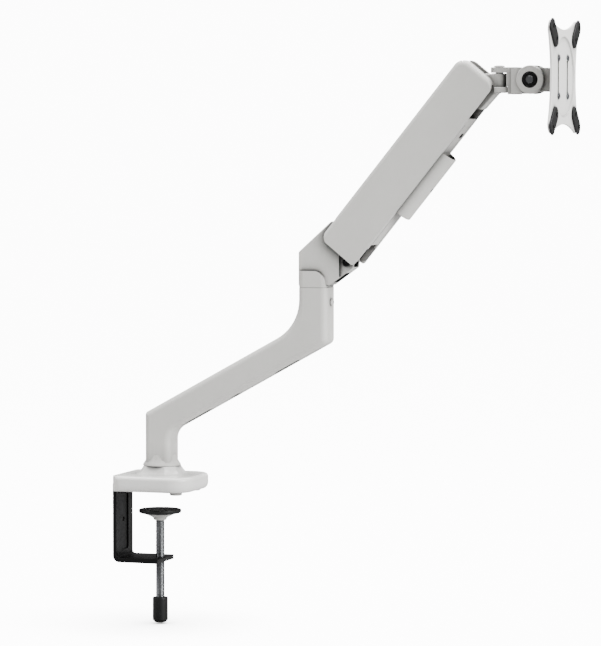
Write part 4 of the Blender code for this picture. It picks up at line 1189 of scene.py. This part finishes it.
@dataclass
class MonitorPlate:
    """Turning plate with four arms, rubber pads and its fixing screws."""

    centre: float = 433.3
    back: float = 431.2
    front: float = 433.8
    recess_face: float = 432.4
    half: float = 56.5
    lobe: float = 10.5
    pad_centre: float = 43.75
    pad_size: Point2 = (34.0, 16.0)
    slot: tuple[float, float, float] = (17.65, 19.0, 2.3)
    squares: tuple[float, ...] = (75.0, 100.0)
    sags: Point2 = (10.0, 9.0)

    def place(self, turn: Matrix, points: Iterable[Point2]) -> list[Point2]:
        """Turn points about the plate's middle and raise them to its height."""
        return [(turned.x, self.centre + turned.y) for turned in (turn @ Vector(point) for point in points)]

    def outline(self) -> list[Point2]:
        """Four rounded lobes on the diagonals, with hollow sides between them."""
        points: list[Point2] = []
        for quarter in range(4):
            sag = self.sags[quarter % 2]
            chord = self.half - self.lobe
            radius = (chord * chord + sag * sag) / (2 * sag)
            spread = math.degrees(math.asin(chord / radius))
            side = arc((self.half - sag + radius, 0), radius, 180 + spread, 180 - spread, 28)
            tip = arc((chord, chord), self.lobe, 0, 90, 16)
            points += self.place(Matrix.Rotation(math.radians(90 * quarter), 2), side[:-1] + tip[:-1])
        return points

    def corners(self) -> Iterable[tuple[str, Matrix]]:
        """Name and rotation of each diagonal."""
        for k, name in enumerate(("far_high", "near_high", "near_low", "far_low")):
            yield name, Matrix.Rotation(math.radians(45 + 90 * k), 2)

    def mount_holes(self, turn: Matrix) -> list[Piece]:
        """Drilling tools for the fixing holes on one diagonal."""
        holes = self.place(turn, [(square / math.sqrt(2), 0) for square in self.squares])
        return [bore((400, y, z), (450, y, z), 2.4, 24) for y, z in holes]

    def plate(self) -> Piece:
        """Build the sheet plate with its recess, slots and screw holes."""
        plate = panel("pressed_plate", self.outline(), (self.back, self.front), Plane.FRONT, 0.7, 3)
        z, face, front = self.centre, self.recess_face, self.front
        dish = [(38.9, face - 0.05), (39.6, face), (40.6, front), (41.6, front + 3)]
        tools = [stand(lathe("tool", dish, 96), (0, 0, z), (1, 0, 0))]
        y, reach, width = self.slot
        for side in (-y, y):
            shape = arc((side, z + reach), width, 0, 180, 14) + arc((side, z - reach), width, 180, 360, 14)
            tools.append(panel("tool", shape, (400, 450), Plane.FRONT))
        for _, turn in self.corners():
            tools += self.mount_holes(turn)
        return combine(plate, tools)

    def pad(self, name: str, turn: Matrix) -> Piece:
        """Build one capsule pad, domed at the edge, with its two holes."""
        radius = self.pad_size[1] / 2
        straight = self.pad_size[0] / 2 - radius
        reach = self.pad_centre * math.sqrt(2)
        shape = arc((reach + straight, 0), radius, -90, 90, 20)
        shape += arc((reach - straight, 0), radius, 90, 270, 20)
        outline = self.place(turn, shape)
        low, high = self.front + GAP, self.front + 2.4
        levels = [(low, 0.3), (low + 0.3, 0), (high - 1.2, 0), (high - 0.6, 0.25)]
        levels += [(high - 0.2, 0.8), (high, 1.6)]
        loops = []
        for depth, move in levels:
            loops.append([(depth, u, v) for u, v in (shrink(outline, move) if move else outline)])
        return combine(loft(f"capsule_pad_{name}", loops), self.mount_holes(turn))

    def hub(self) -> Piece:
        """Build the round hub behind the plate."""
        profile = [(5.3, 421.8), (11.6, 421.8), (12, 422.2), (12, 424.6), (12.6, 425.2), (26, 426.3)]
        profile += [(27, 426.8), (27, 430.9), (5.3, 430.9)]
        return stand(lathe("round_hub", profile, 96, ring=True), (0, 0, self.centre), (1, 0, 0))

    def build(self) -> None:
        """Build and dress the plate."""
        add(self.plate(), "plate", Kit.PLATE, "white_cast", "vesa_plate")
        add(self.hub(), "plate", Kit.HEAD, "head_cast", "plate_hub")
        for name, turn in self.corners():
            add(self.pad(name, turn), "plate", Kit.RUBBER, "rubber", f"plate_pad_{name}")
        y, reach, _ = self.slot
        for side, across in (("near", -y), ("far", y)):
            for level, z in (("low", self.centre - reach), ("high", self.centre + reach)):
                seat = (self.recess_face + GAP, across, z)
                name = f"hub_screw_{side}_{level}"
                screw = socket_screw(name, seat, (1, 0, 0), (3.3, 1.5), (1.6, 5.0), 1.4)
                add(screw, "plate", Kit.ZINC, "steel", f"plate_screw_{side}_{level}")
        dress(Kit.ZINC, "plate_shaft")


# --- studio

@dataclass
class Studio:
    """Pale floor, soft lights and the camera."""

    camera_place: Point3 = (1329.6, -3414.4, 393.4)
    azimuth: float = 19.0
    pitch: float = 3.37
    lens: float = 195.05
    floor: float = -139.0
    glow: float = 12.0
    ambient: float = 0.5

    def camera(self) -> None:
        """Set the camera at the viewing angle."""
        data = bpy.data.cameras.new("camera")
        data.lens = self.lens
        data.sensor_width = 36.0
        data.clip_end = 50.0
        camera = new_object("camera", data)
        camera.location = Vector(self.camera_place) * MM
        camera.rotation_euler = (math.radians(90 - self.pitch), 0, math.radians(self.azimuth))
        bpy.context.scene.camera = camera

    def light(self, name: str, place: Point3, target: Point3, size: float, power: float) -> None:
        """Add one soft area light.

        Args:
            name: Name of the light.
            place: Where it stands, in metres.
            target: Where it points.
            size: Side of its square, in metres.
            power: Power in watts.
        """
        data = bpy.data.lights.new(name, "AREA")
        data.size = size
        data.energy = power
        lamp = new_object(name, data)
        lamp.location = place
        aim = Vector(target) - Vector(place)
        lamp.rotation_euler = aim.to_track_quat("-Z", "Y").to_euler()

    def paper(self) -> bpy.types.Material:
        """Build the floor's pale paper, which glows to the camera, with a painted contact shadow: ambient
        occlusion dims the glow near what stands on it.
        """
        values = {
            "Base Color": linear_colour("9A9A9A"),
            "Roughness": 0.95,
            "Specular IOR Level": 0.0,
            "Emission Color": (1.0, 1.0, 1.0, 1.0),
        }
        material, shader = blank_material("seamless_paper", values)
        tree = material.node_tree
        # Painted shadow: the glow is dimmed by ambient occlusion under and beside the arm.
        near = add_node(tree, "ShaderNodeAmbientOcclusion", {"Distance": 0.16, "samples": 8}).outputs["AO"]
        painted_shade = maths(tree, "POWER", near, 2.0)
        seen = add_node(tree, "ShaderNodeLightPath").outputs["Is Camera Ray"]
        power = maths(tree, "MULTIPLY", maths(tree, "MULTIPLY", painted_shade, seen), self.glow)
        tree.links.new(power, shader.inputs["Emission Strength"])
        return material

    def backdrop(self) -> None:
        """Build the floor that sweeps up behind the object."""
        depth, rise, reach, bend = 9.0, 6.0, 7.0, 2.5
        profile = [(-5.0, 0.0), (depth - bend, 0.0)]
        for a in (0.3, 0.6, 0.9, 1.2, 1.5):
            profile.append((depth - bend + bend * math.sin(a), bend - bend * math.cos(a)))
        profile.append((depth, rise))
        builder = bmesh.new()
        base = self.floor * MM
        rows = [[builder.verts.new((x, y, base + z)) for x in (-reach, reach)] for y, z in profile]
        for near, far in zip(rows, rows[1:]):
            builder.faces.new((near[0], near[1], far[1], far[0]))
        mesh = bpy.data.meshes.new("floor")
        builder.to_mesh(mesh)
        builder.free()
        mesh.shade_smooth()
        mesh.materials.append(self.paper())
        new_object("floor", mesh)

    def build(self) -> None:
        """Set up the world, the lights, the floor and the camera."""
        world = bpy.data.worlds.new("studio")
        world.use_nodes = True
        sky = world.node_tree.nodes["Background"]
        sky.inputs["Color"].default_value = (1.0, 1.0, 1.0, 1.0)
        sky.inputs["Strength"].default_value = self.ambient
        bpy.context.scene.world = world
        self.light("overhead", (0.2, 0.5, 2.4), (0.2, 0.0, 0.1), 2.4, 215.0)
        self.light("left", (-2.4, -1.4, 1.4), (0.2, 0.0, 0.2), 1.6, 42.0)
        self.light("right", (2.8, -0.9, 1.0), (0.3, 0.0, 0.3), 1.4, 130.0)
        self.backdrop()
        self.camera()


def main() -> None:
    """Build the arm from the desk upwards."""
    logging.basicConfig(level=logging.INFO, format="%(name)s: %(message)s")
    Studio().build()
    for part in (Base(), Clamp(), LowerArm(), Elbow(), UpperArm(), Head(), MonitorPlate()):
        part.build()


if __name__ == "__main__":
    main()
